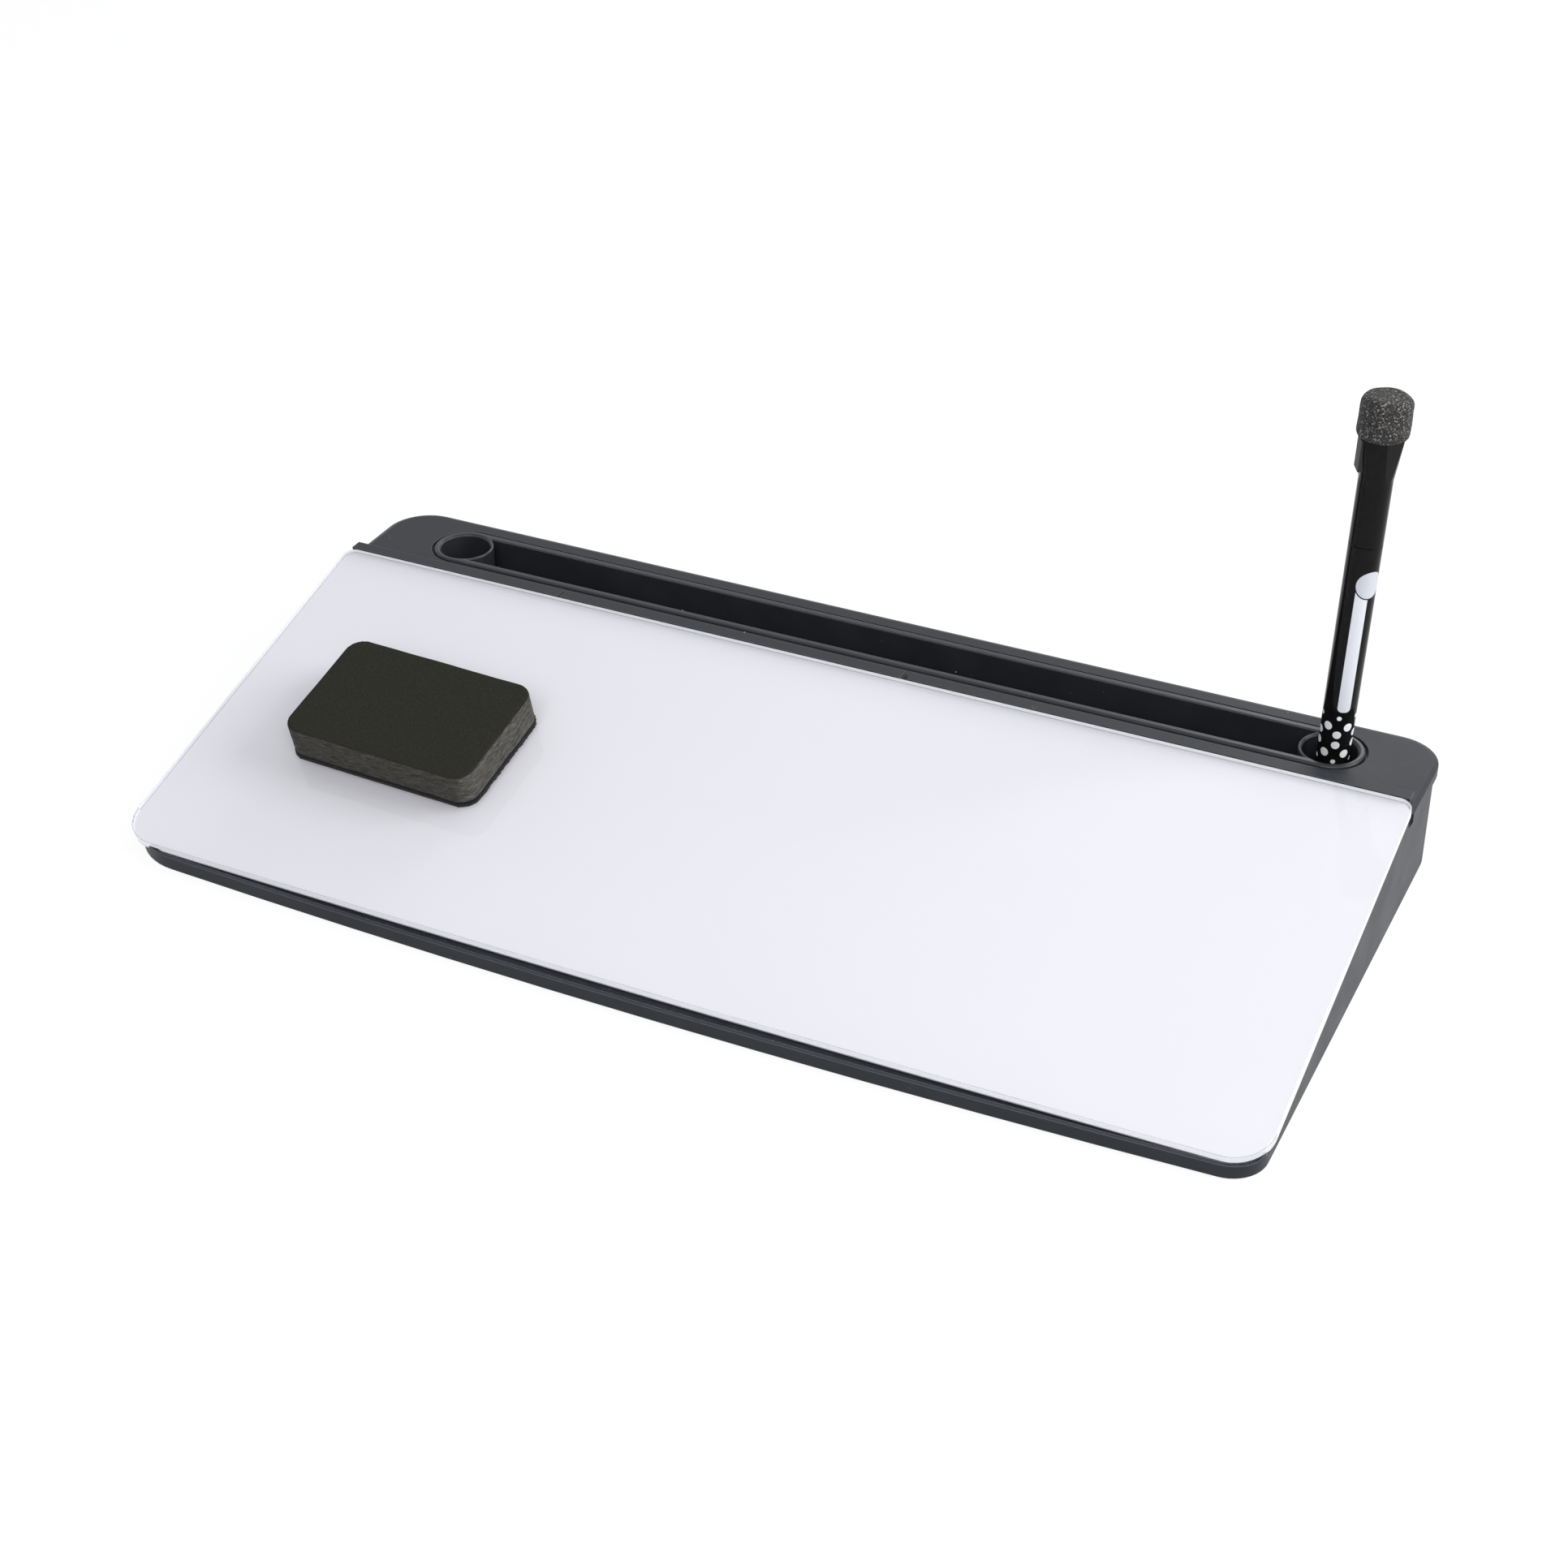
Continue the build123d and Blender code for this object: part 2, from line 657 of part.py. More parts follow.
cap_bore_end = cap_end - cap_roof
magnet_mid = magnet_start + magnet_length / 2
magnet_across = marker_plane.x_dir.rotate(Axis((0, 0, 0), marker_dir), magnet_turn)
magnet_plane = Plane(
    origin=marker_plane.from_local_coords((0, 0, magnet_mid)) + magnet_across * magnet_face_radius,
    x_dir=marker_dir,
    z_dir=magnet_across,
)
with BuildPart() as marker_cap:
    with BuildSketch(marker_plane.offset(cap_start)):
        Circle(barrel_radius)
    extrude(amount=flare_start + margin - cap_start)
    add(cap_flats.part)
    with BuildSketch(marker_plane.offset(cap_start)):
        Circle(section_radius + cap_seat_clear)
    extrude(amount=barrel_end + section_seat + cap_seat_relief - cap_start, mode=Mode.SUBTRACT)
    with BuildSketch(marker_plane.offset(cap_start)):
        Circle(cap_bore_radius)
    extrude(amount=cap_bore_end - cap_start, mode=Mode.SUBTRACT)
    with BuildSketch(magnet_plane):
        Rectangle(magnet_length + 2 * magnet_clear, magnet_width + 2 * magnet_clear)
    extrude(amount=-magnet_thick - magnet_clear, mode=Mode.SUBTRACT)
    with BuildSketch(marker_plane.offset(cap_end)):
        Circle(post_radius)
    extrude(amount=post_height)
    marker_cap.part.label = "marker_cap"
export_step(marker_cap.part, "parts/marker_cap.step")

with BuildPart() as cap_inner_seal:
    with BuildSketch(marker_plane.offset(cap_bore_end - seal_length)):
        Circle(cap_bore_radius - seal_clear)
    extrude(amount=seal_length)
    with BuildSketch(marker_plane.offset(cap_bore_end - seal_length)):
        Circle(cap_bore_radius - seal_clear - seal_wall)
    extrude(amount=seal_length - seal_wall, mode=Mode.SUBTRACT)
    cap_inner_seal.part.label = "cap_inner_seal"
export_step(cap_inner_seal.part, "parts/cap_inner_seal.step")

with BuildPart() as cap_magnet:
    with BuildSketch(magnet_plane):
        Rectangle(magnet_length, magnet_width)
    extrude(amount=-magnet_thick)
    cap_magnet.part.label = "cap_magnet"
export_step(cap_magnet.part, "parts/cap_magnet.step")

with BuildPart() as foam_head:
    with BuildSketch(marker_plane.offset(cap_end)):
        Circle(foam_head_radius)
    extrude(amount=foam_head_length)
    chamfer(foam_head.edges().sort_by(marker_axis)[-1], foam_head_edge)
    with BuildSketch(marker_plane.offset(cap_end)):
        Circle(post_radius + foam_head_clear)
    extrude(amount=post_height + foam_head_clear, mode=Mode.SUBTRACT)
    foam_head.part.label = "foam_head"
export_step(foam_head.part, "parts/foam_head.step")
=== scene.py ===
import math

import bmesh
import bpy
from mathutils import Matrix, Vector, noise


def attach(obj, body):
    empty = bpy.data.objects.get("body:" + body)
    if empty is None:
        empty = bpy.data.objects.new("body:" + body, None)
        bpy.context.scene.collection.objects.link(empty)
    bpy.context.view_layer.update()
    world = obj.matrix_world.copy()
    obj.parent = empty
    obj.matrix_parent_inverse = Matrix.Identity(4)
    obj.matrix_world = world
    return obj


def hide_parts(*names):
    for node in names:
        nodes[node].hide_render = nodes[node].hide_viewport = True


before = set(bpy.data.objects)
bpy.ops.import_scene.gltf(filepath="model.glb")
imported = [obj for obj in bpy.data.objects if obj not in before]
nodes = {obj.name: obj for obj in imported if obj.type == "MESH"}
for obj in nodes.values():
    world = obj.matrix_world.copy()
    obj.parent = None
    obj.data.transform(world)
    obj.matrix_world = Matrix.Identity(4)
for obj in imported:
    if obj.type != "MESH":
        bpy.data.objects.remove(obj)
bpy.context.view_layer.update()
mm = 0.001
print("frame loaded:", len(nodes), "nodes")

# Where the glass and the loose pieces stand: a point, local Z, and the heading of local X in degrees.
# The marker's point is the foot of its axis, the glass's the middle of the writing surface.
glassUp = (0.0, -0.241922, 0.970296)
markerFrame = {"point": (0.1653, 0.082122, 0.0136265), "up": (0.0287992, 0.0137983, 0.99949), "heading": 25.6}
glassFrame = {"point": (0.0, -0.0191, 0.0251954), "up": glassUp, "heading": 0.0}
eraserFrame = {"point": (-0.1246, -0.021368, 0.0247845), "up": glassUp, "heading": -2.1}


def placeOf(given):
    up = Vector(given["up"]).normalized()
    turn = math.radians(given["heading"])
    side = Vector((math.cos(turn), math.sin(turn), 0))
    side = (side - up * side.dot(up)).normalized()
    across = up.cross(side)
    turned = Matrix((side, across, up)).transposed()
    return Matrix.Translation(Vector(given["point"])) @ turned.to_4x4()


markerPlace = placeOf(markerFrame)
glassPlace = placeOf(glassFrame)
eraserPlace = placeOf(eraserFrame)


# Small helpers for node trees

def addNode(tree, kind, **settings):
    made = tree.nodes.new("ShaderNode" + kind)
    for name, value in settings.items():
        setattr(made, name, value)
    return made


def join(tree, source, target):
    tree.links.new(source, target)


def feed(tree, value, socket):
    # a number or tuple is set on the socket, anything else is linked to it
    if isinstance(value, tuple) and socket.type == "RGBA" and len(value) == 3:
        value += (1,)
    if isinstance(value, (int, float, tuple)):
        socket.default_value = value
    else:
        join(tree, value, socket)


def feedAll(tree, node, values):
    for label, value in values.items():
        feed(tree, value, node.inputs[label])


def calc(tree, operation, first, second=None, third=None):
    step = addNode(tree, "Math", operation=operation)
    for socket, value in zip(step.inputs, (first, second, third)):
        if value is not None:
            feed(tree, value, socket)
    return step.outputs[0]


def calcVector(tree, operation, first, second=None):
    step = addNode(tree, "VectorMath", operation=operation)
    for socket, value in zip(step.inputs, (first, second)):
        if value is not None:
            feed(tree, value, socket)
    return step.outputs["Value" if operation in ("DOT_PRODUCT", "LENGTH") else "Vector"]


def remap(tree, value, low, high, toLow=0.0, toHigh=1.0):
    step = addNode(tree, "MapRange")
    feedAll(tree, step, {"Value": value, "From Min": low, "From Max": high,
                         "To Min": toLow, "To Max": toHigh})
    return step.outputs["Result"]


def blendColour(tree, share, first, second):
    # a colour Mix node takes its share at input 0 and its colours at 6 and 7
    step = addNode(tree, "Mix", data_type="RGBA", blend_type="MIX")
    for index, value in ((0, share), (6, first), (7, second)):
        feed(tree, value, step.inputs[index])
    return step.outputs[2]


def addPattern(tree, kind, spot, values, **settings):
    # a texture or Mapping node over the given place, with values for its labelled inputs
    made = addNode(tree, kind, **settings)
    join(tree, spot, made.inputs["Vector"])
    feedAll(tree, made, values)
    return made.outputs


def addNoise(tree, spot, values):
    return addPattern(tree, "TexNoise", spot, values)["Fac"]


def newGroup(name, inputs, outputs):
    tree = bpy.data.node_groups.new(name, "ShaderNodeTree")
    for label, kind, value in inputs:
        socket = tree.interface.new_socket(label, in_out="INPUT", socket_type="NodeSocket" + kind)
        if value is not None:
            socket.default_value = value
    for label, kind in outputs:
        tree.interface.new_socket(label, in_out="OUTPUT", socket_type="NodeSocket" + kind)
    return tree, tree.nodes.new("NodeGroupInput").outputs, tree.nodes.new("NodeGroupOutput").inputs


def useGroup(tree, group, **values):
    made = tree.nodes.new("ShaderNodeGroup")
    made.node_tree = group
    feedAll(tree, made, values)
    return made.outputs


# Effects that several finishes share; patterns are scaled per millimetre

# turnRange is the cosine between the rounded and the true normal, from no edge to a full one
edgeLook = {"samples": 6, "turnRange": (0.995, 0.86)}

grainLook = {
    "grain": {"Detail": 3.0, "Roughness": 0.6},
    "pitsPerGrain": 1.7,
    "pitDepth": 0.35,
    "mottle": {"Scale": 0.06, "Detail": 4.0},
    "mottleRange": (0.3, 0.7),
}

scuffLook = {
    "curl": {"Scale": 0.11, "Detail": 2.0, "Distortion": 0.8},
    "curlLevel": 0.5,
    "patch": {"Scale": 0.09, "Detail": 3.0},
    "patchRange": (0.64, 0.7),
}

smallestSpeck = 0.35  # added to a random share of the speck's size
printBlur = 0.05


def makeSoftEdge():
    # a slightly rounded edge: its normal, and where it is, the mask for the painted edge highlight
    tree, given, out = newGroup("softEdge", [("Radius", "Float", 0.0004)],
                                [("Normal", "Vector"), ("Edge", "Float")])
    rounded = addNode(tree, "Bevel", samples=edgeLook["samples"])
    join(tree, given["Radius"], rounded.inputs["Radius"])
    flat = addNode(tree, "NewGeometry")
    turn = calcVector(tree, "DOT_PRODUCT", rounded.outputs["Normal"], flat.outputs["Normal"])
    join(tree, rounded.outputs["Normal"], out["Normal"])
    join(tree, remap(tree, turn, *edgeLook["turnRange"]), out["Edge"])
    return tree


def makeMouldGrain():
    # spark-eroded grain of a moulded face, and its slow mottle
    look = grainLook
    tree, given, out = newGroup("mouldGrain", [("Vector", "Vector", None), ("Pitch", "Float", 3.5)],
                                [("Height", "Float"), ("Mottle", "Float")])
    spot = given["Vector"]
    grain = addNoise(tree, spot, {"Scale": given["Pitch"], **look["grain"]})
    pitScale = calc(tree, "MULTIPLY", given["Pitch"], look["pitsPerGrain"])
    pits = addPattern(tree, "TexVoronoi", spot, {"Scale": pitScale}, feature="SMOOTH_F1")
    pitHeight = calc(tree, "MULTIPLY", pits["Distance"], look["pitDepth"])
    mottle = addNoise(tree, spot, look["mottle"])
    join(tree, calc(tree, "ADD", grain, pitHeight), out["Height"])
    join(tree, remap(tree, mottle, *look["mottleRange"]), out["Mottle"])
    return tree


def makeDustSpecks():
    # a few pale grains of dust: one cell in many holds a speck
    tree, given, out = newGroup(
        "dustSpecks",
        [("Vector", "Vector", None), ("Cells", "Float", 0.12), ("Share", "Float", 0.2),
         ("Size", "Float", 0.02)],
        [("Mask", "Float")])
    cells = addPattern(tree, "TexVoronoi", given["Vector"], {"Scale": given["Cells"]})
    split = addNode(tree, "SeparateColor")
    join(tree, cells["Color"], split.inputs[0])
    chosen = calc(tree, "LESS_THAN", split.outputs[0], given["Share"])
    reach = calc(tree, "MULTIPLY", given["Size"], calc(tree, "ADD", split.outputs[1], smallestSpeck))
    near = calc(tree, "LESS_THAN", cells["Distance"], reach)
    join(tree, calc(tree, "MULTIPLY", chosen, near), out["Mask"])
    return tree


def makeHairScuffs():
    # short curling hairlines, only in a few patches
    look = scuffLook
    tree, given, out = newGroup("hairScuffs", [("Vector", "Vector", None), ("Width", "Float", 0.006)],
                                [("Mask", "Float")])
    curl = addNoise(tree, given["Vector"], look["curl"])
    patch = addNoise(tree, given["Vector"], look["patch"])
    away = calc(tree, "ABSOLUTE", calc(tree, "SUBTRACT", curl, look["curlLevel"]))
    line = calc(tree, "LESS_THAN", away, given["Width"])
    join(tree, calc(tree, "MULTIPLY", line, remap(tree, patch, *look["patchRange"])), out["Mask"])
    return tree


def makePrintMark():
    # a printed rounded box on the unrolled barrel, in millimetres
    tree, given, out = newGroup(
        "printMark",
        [("Vector", "Vector", None), ("Centre", "Vector", (0, 0, 0)), ("Half", "Vector", (1, 1, 0)),
         ("Corner", "Float", 1.0)],
        [("Mask", "Float")])
    away = calcVector(tree, "SUBTRACT", given["Vector"], given["Centre"])
    core = calcVector(tree, "SUBTRACT", calcVector(tree, "ABSOLUTE", away), given["Half"])
    reach = calcVector(tree, "LENGTH", calcVector(tree, "MAXIMUM", core))
    gap = calc(tree, "SUBTRACT", reach, given["Corner"])
    join(tree, remap(tree, gap, printBlur, -printBlur), out["Mask"])
    return tree


softEdge = makeSoftEdge()
mouldGrain = makeMouldGrain()
dustSpecks = makeDustSpecks()
hairScuffs = makeHairScuffs()
printMark = makePrintMark()
print("shared effects built")


# Finishes; each one's look holds its plain colour, roughness and specular level

def newFinish(name, look):
    made = bpy.data.materials.new(name)
    made.use_nodes = True
    tree = made.node_tree
    shader = tree.nodes["Principled BSDF"]
    shader.inputs["Base Color"].default_value = look["colour"] + (1,)
    shader.inputs["Roughness"].default_value = look["rough"]
    shader.inputs["Specular IOR Level"].default_value = look["level"]
    made.diffuse_color = look["colour"] + (1,)
    return made, tree, shader


def millimetres(tree, place=None):
    # object coordinates in millimetres, in the piece's own frame when one is given
    coords = addNode(tree, "TexCoord").outputs["Object"]
    if place is not None:
        settled = {"Location": tuple(place.to_translation()), "Rotation": tuple(place.to_euler())}
        coords = addPattern(tree, "Mapping", coords, settled, vector_type="TEXTURE")["Vector"]
    scaled = addNode(tree, "VectorMath", operation="SCALE")
    scaled.inputs["Scale"].default_value = 1 / mm
    join(tree, coords, scaled.inputs[0])
    return scaled.outputs[0]


def addBump(tree, shader, height, strength, distance, normal=None):
    bump = addNode(tree, "Bump")
    feedAll(tree, bump, {"Strength": strength, "Distance": distance, "Height": height})
    if normal is not None:
        join(tree, normal, bump.inputs["Normal"])
    join(tree, bump.outputs["Normal"], shader.inputs["Normal"])


plastics = {
    "bodyPlastic": {"colour": (0.022, 0.025, 0.0305), "light": (0.028, 0.0315, 0.0385),
                    "rough": 0.42, "level": 0.17, "edge": 0.00045, "bump": 0.22},
    "trayPlastic": {"colour": (0.022, 0.024, 0.028), "light": (0.028, 0.0305, 0.0355),
                    "rough": 0.3, "level": 0.3, "edge": 0.0005, "bump": 0.12},
}

# grain, dust and scuffs, and a highlight painted along the edges
plasticWearAndHighlight = {
    "grainPitch": 3.2,
    "grainDepth": 0.00006,
    "smoother": 0.03,
    "rougher": 0.05,
    # a pale line painted along every edge as its highlight
    "edgeHighlightShare": 0.85,
    "edgeHighlightColour": (0.16, 0.168, 0.182),
    "dust": {"Cells": 0.11, "Share": 0.3, "Size": 0.03},
    "fineDust": {"Cells": 0.35, "Share": 0.12, "Size": 0.06},
    "fineShare": 0.45,
    "scuffWidth": 0.004,
    "scuffShare": 0.09,
    "dustColour": (0.66, 0.65, 0.61),
    "dustRoughness": 0.4,
}


def makePlastic(name):
    look = plastics[name]
    wearAndHighlight = plasticWearAndHighlight
    made, tree, shader = newFinish(name, look)
    spot = millimetres(tree)
    grain = useGroup(tree, mouldGrain, Vector=spot, Pitch=wearAndHighlight["grainPitch"])
    edge = useGroup(tree, softEdge, Radius=look["edge"])
    dust = useGroup(tree, dustSpecks, Vector=spot, **wearAndHighlight["dust"])
    fine = useGroup(tree, dustSpecks, Vector=spot, **wearAndHighlight["fineDust"])
    scuff = useGroup(tree, hairScuffs, Vector=spot, Width=wearAndHighlight["scuffWidth"])
    colour = blendColour(tree, grain["Mottle"], look["colour"], look["light"])
    # painted highlight: a pale colour along every edge
    edgeHighlightShare = calc(tree, "MULTIPLY", edge["Edge"], wearAndHighlight["edgeHighlightShare"])
    colour = blendColour(tree, edgeHighlightShare, colour, wearAndHighlight["edgeHighlightColour"])
    pale = calc(tree, "MAXIMUM", dust["Mask"], calc(tree, "MULTIPLY", fine["Mask"], wearAndHighlight["fineShare"]))
    pale = calc(tree, "MAXIMUM", pale, calc(tree, "MULTIPLY", scuff["Mask"], wearAndHighlight["scuffShare"]))
    join(tree, blendColour(tree, pale, colour, wearAndHighlight["dustColour"]), shader.inputs["Base Color"])
    rough = remap(tree, grain["Mottle"], 0, 1,
                  look["rough"] - wearAndHighlight["smoother"], look["rough"] + wearAndHighlight["rougher"])
    rough = calc(tree, "ADD", rough, calc(tree, "MULTIPLY", pale, wearAndHighlight["dustRoughness"]))
    join(tree, rough, shader.inputs["Roughness"])
    addBump(tree, shader, grain["Height"], look["bump"], wearAndHighlight["grainDepth"], edge["Normal"])
    return made


glassLook = {
    "colour": (0.985, 0.995, 0.992), "rough": 0.015, "level": 0.3,
    "ior": 1.36,
    "smear": {"Scale": 0.04, "Detail": 5.0},
    "smearRange": (0.35, 0.75),
    "roughRange": (0.05, 0.09),
    "passing": (0.985, 0.99, 0.99, 1),
}


def makeGlass():
    # clear plate, faintly green
    look = glassLook
    made, tree, shader = newFinish("clearGlass", look)
    shader.inputs["IOR"].default_value = look["ior"]
    shader.inputs["Transmission Weight"].default_value = 1.0
    smear = addNoise(tree, millimetres(tree), look["smear"])
    rough = remap(tree, smear, *look["smearRange"], *look["roughRange"])
    join(tree, rough, shader.inputs["Roughness"])
    flat = addNode(tree, "NewGeometry")
    join(tree, flat.outputs["True Normal"], shader.inputs["Normal"])
    letLightPass(tree, shader)
    return made


def letLightPass(tree, shader):
    # shadow and diffuse rays go straight through, so that what lies behind is lit
    path = addNode(tree, "LightPath")
    passes = calc(tree, "MAXIMUM", path.outputs["Is Shadow Ray"], path.outputs["Is Diffuse Ray"])
    clear = addNode(tree, "BsdfTransparent")
    clear.inputs["Color"].default_value = glassLook["passing"]
    endWithMix(tree, passes, shader, clear, tree.nodes["Material Output"])


def endWithMix(tree, share, first, second, end):
    mix = addNode(tree, "MixShader")
    for socket, source in zip(mix.inputs, (share, first.outputs[0], second.outputs[0])):
        join(tree, source, socket)
    join(tree, mix.outputs[0], end.inputs["Surface"])


coatLook = {
    "colour": (0.86, 0.86, 0.9), "rough": 0.5, "level": 0.3,
    "dark": (0.843, 0.827, 0.878), "light": (0.873, 0.857, 0.908),
    "cloud": {"Scale": 0.02, "Detail": 3.0},
    "cloudShare": 0.7,
    "speck": {"Scale": 1.1, "Detail": 2.0},
    "speckShare": 0.3,
    "speckRange": (0.3, 0.7),
    "roughRange": (0.45, 0.55),
    "bump": 0.1,
    "depth": 0.00002,
}


def makeWhiteCoat():
    look = coatLook
    made, tree, shader = newFinish("whiteCoat", look)
    spot = millimetres(tree)
    cloud = addNoise(tree, spot, look["cloud"])
    speck = addNoise(tree, spot, look["speck"])
    tone = calc(tree, "ADD", calc(tree, "MULTIPLY", cloud, look["cloudShare"]),
                calc(tree, "MULTIPLY", speck, look["speckShare"]))
    join(tree, blendColour(tree, tone, look["dark"], look["light"]), shader.inputs["Base Color"])
    rough = remap(tree, speck, *look["speckRange"], *look["roughRange"])
    join(tree, rough, shader.inputs["Roughness"])
    flat = addNode(tree, "NewGeometry")
    addBump(tree, shader, speck, look["bump"], look["depth"], flat.outputs["True Normal"])
    return made


groundLook = {
    "colour": (0.86, 0.87, 0.87), "rough": 0.6, "level": 0.4,
    "dark": (0.82, 0.835, 0.83), "light": (0.9, 0.905, 0.9),
    "stretch": {"Scale": (0.05, 0.05, 6.0)},
    "lines": {"Scale": 1.0, "Detail": 3.0},
    "bump": 0.2,
    "depth": 0.00003,
}


def makeGroundGlass():
    # matt band left by the grinding wheel, with its fine lengthwise lines
    look = groundLook
    made, tree, shader = newFinish("groundGlass", look)
    stretched = addPattern(tree, "Mapping", millimetres(tree, glassPlace), look["stretch"])["Vector"]
    lines = addNoise(tree, stretched, look["lines"])
    join(tree, blendColour(tree, lines, look["dark"], look["light"]), shader.inputs["Base Color"])
    addBump(tree, shader, lines, look["bump"], look["depth"])
    letLightPass(tree, shader)
    return made


# painted shade: the dark line where the coat meets the glass's lower arris
rimShadeLook = {
    "colour": (0.5, 0.49, 0.6), "rough": 0.6, "level": 0.3,
    "dark": (0.44, 0.43, 0.54), "light": (0.58, 0.57, 0.67),
    "shadeMottle": {"Scale": 0.15, "Detail": 4.0},
}


def makeCoatRimShade():
    # where the coat ends over the lower arris: a lavender grey painted as the shade in the gap there
    look = rimShadeLook
    made, tree, shader = newFinish("coatRimShade", look)
    shadeMottle = addNoise(tree, millimetres(tree, glassPlace), look["shadeMottle"])
    join(tree, blendColour(tree, shadeMottle, look["dark"], look["light"]), shader.inputs["Base Color"])
    return made


tapeLook = {
    "colour": (0.6, 0.6, 0.57), "rough": 0.85, "level": 0.3,
    "dark": (0.5, 0.5, 0.47), "light": (0.68, 0.68, 0.64),
    "cells": {"Scale": 2.5},
    "bump": 0.5,
    "depth": 0.0001,
}


def makeTape():
    look = tapeLook
    made, tree, shader = newFinish("tapeFoam", look)
    cells = addPattern(tree, "TexVoronoi", millimetres(tree), look["cells"])["Distance"]
    join(tree, blendColour(tree, cells, look["dark"], look["light"]), shader.inputs["Base Color"])
    addBump(tree, shader, cells, look["bump"], look["depth"])
    return made


# leanRange is the cosine between a face and the top, and the end range the one between a face and the length,
# over which the end faces are painted paler as light
foamLook = {
    "colour": (0.017, 0.017, 0.0135), "rough": 0.9, "level": 0.12,
    "light": (0.034, 0.033, 0.026),
    "cells": {"Scale": 3.4},
    "cellDepth": 0.5,
    "blot": {"Scale": 1.3, "Detail": 6.0, "Roughness": 0.75},
    "blotRange": (0.35, 0.7),
    # pale sawn colour, partly painted light on the lit end faces
    "sawnAndLitColour": (0.26, 0.25, 0.232),
    "leanRange": (0.75, 0.3),
    "litEndRange": (0.15, 0.9),
    "litEndShare": (0.5, 1.0),
    "sawTurn": {"Scale": (0.3, 0.3, 3.6), "Rotation": (0.3, 0.42, 0)},
    "saw": {"Scale": 1.0, "Detail": 6.0, "Roughness": 0.7, "Distortion": 0.9},
    "sawRange": (0.4, 0.74),
    "sawDepth": 1.2,
    "dust": {"Cells": 0.2, "Share": 0.34, "Size": 0.03},
    "dustShare": 0.75,
    "dustColour": (0.42, 0.38, 0.33),
    "bump": 0.5,
    "depth": 0.00018,
}


def makeEraserFoam():
    # closed-cell foam with a fine speckle; its sawn sides are paler and striated, and the end faces paler
    # still as painted light
    look = foamLook
    made, tree, shader = newFinish("eraserFoam", look)
    spot = millimetres(tree, eraserPlace)
    cells = addPattern(tree, "TexVoronoi", spot, look["cells"])["Distance"]
    blot = addNoise(tree, spot, look["blot"])
    colour = blendColour(tree, remap(tree, blot, *look["blotRange"]), look["colour"], look["light"])
    sawnAndLit = addSawMarksAndLitEnds(tree, spot)
    colour = blendColour(tree, sawnAndLit, colour, look["sawnAndLitColour"])
    dust = useGroup(tree, dustSpecks, Vector=spot, **look["dust"])
    dustShare = calc(tree, "MULTIPLY", dust["Mask"], look["dustShare"])
    join(tree, blendColour(tree, dustShare, colour, look["dustColour"]), shader.inputs["Base Color"])
    height = calc(tree, "ADD", calc(tree, "MULTIPLY", cells, look["cellDepth"]),
                  calc(tree, "MULTIPLY", sawnAndLit, look["sawDepth"]))
    addBump(tree, shader, calc(tree, "ADD", height, blot), look["bump"], look["depth"])
    return made


def addSawMarksAndLitEnds(tree, spot):
    # pale streaks on the faces that lean away from the top: sawn marks, painted fuller on the end faces as
    # the light that falls on them
    look = foamLook
    facing = addNode(tree, "NewGeometry").outputs["Normal"]
    lean = calcVector(tree, "DOT_PRODUCT", facing, eraserFrame["up"])
    side = remap(tree, lean, *look["leanRange"])
    turned = addPattern(tree, "Mapping", spot, look["sawTurn"])["Vector"]
    saw = addNoise(tree, turned, look["saw"])
    lengthwise = tuple(eraserPlace.to_3x3() @ Vector((1, 0, 0)))
    # the end faces, painted paler as the light on them
    across = calc(tree, "ABSOLUTE", calcVector(tree, "DOT_PRODUCT", facing, lengthwise))
    endLight = remap(tree, across, *look["litEndRange"], *look["litEndShare"])
    side = calc(tree, "MULTIPLY", side, endLight)
    return calc(tree, "MULTIPLY", side, remap(tree, saw, *look["sawRange"]))


feltLook = {
    "colour": (0.012, 0.012, 0.013), "rough": 1.0, "level": 0.1,
    "sheen": 0.1, "sheenRoughness": 0.6,
    "dark": (0.004, 0.004, 0.005), "light": (0.015, 0.015, 0.017),
    "fibre": {"Scale": 2.4, "Detail": 6.0, "Distortion": 1.5},
    "bump": 0.8,
    "depth": 0.0003,
}


def makeFelt():
    look = feltLook
    made, tree, shader = newFinish("eraserFelt", look)
    shader.inputs["Sheen Weight"].default_value = look["sheen"]
    shader.inputs["Sheen Roughness"].default_value = look["sheenRoughness"]
    fibre = addNoise(tree, millimetres(tree, eraserPlace), look["fibre"])
    join(tree, blendColour(tree, fibre, look["dark"], look["light"]), shader.inputs["Base Color"])
    addBump(tree, shader, fibre, look["bump"], look["depth"])
    return made


glossLook = {
    "colour": (0.006, 0.006, 0.0065), "rough": 0.09, "level": 0.1,
    "dark": (0.004, 0.004, 0.0045), "light": (0.009, 0.009, 0.0095),
    "haze": {"Scale": 0.3, "Detail": 4.0},
    "hazeRange": (0.3, 0.75),
    "roughRange": (0.07, 0.13),
    "edge": 0.0003,
    "bump": 0.04,
    "depth": 0.0001,
}

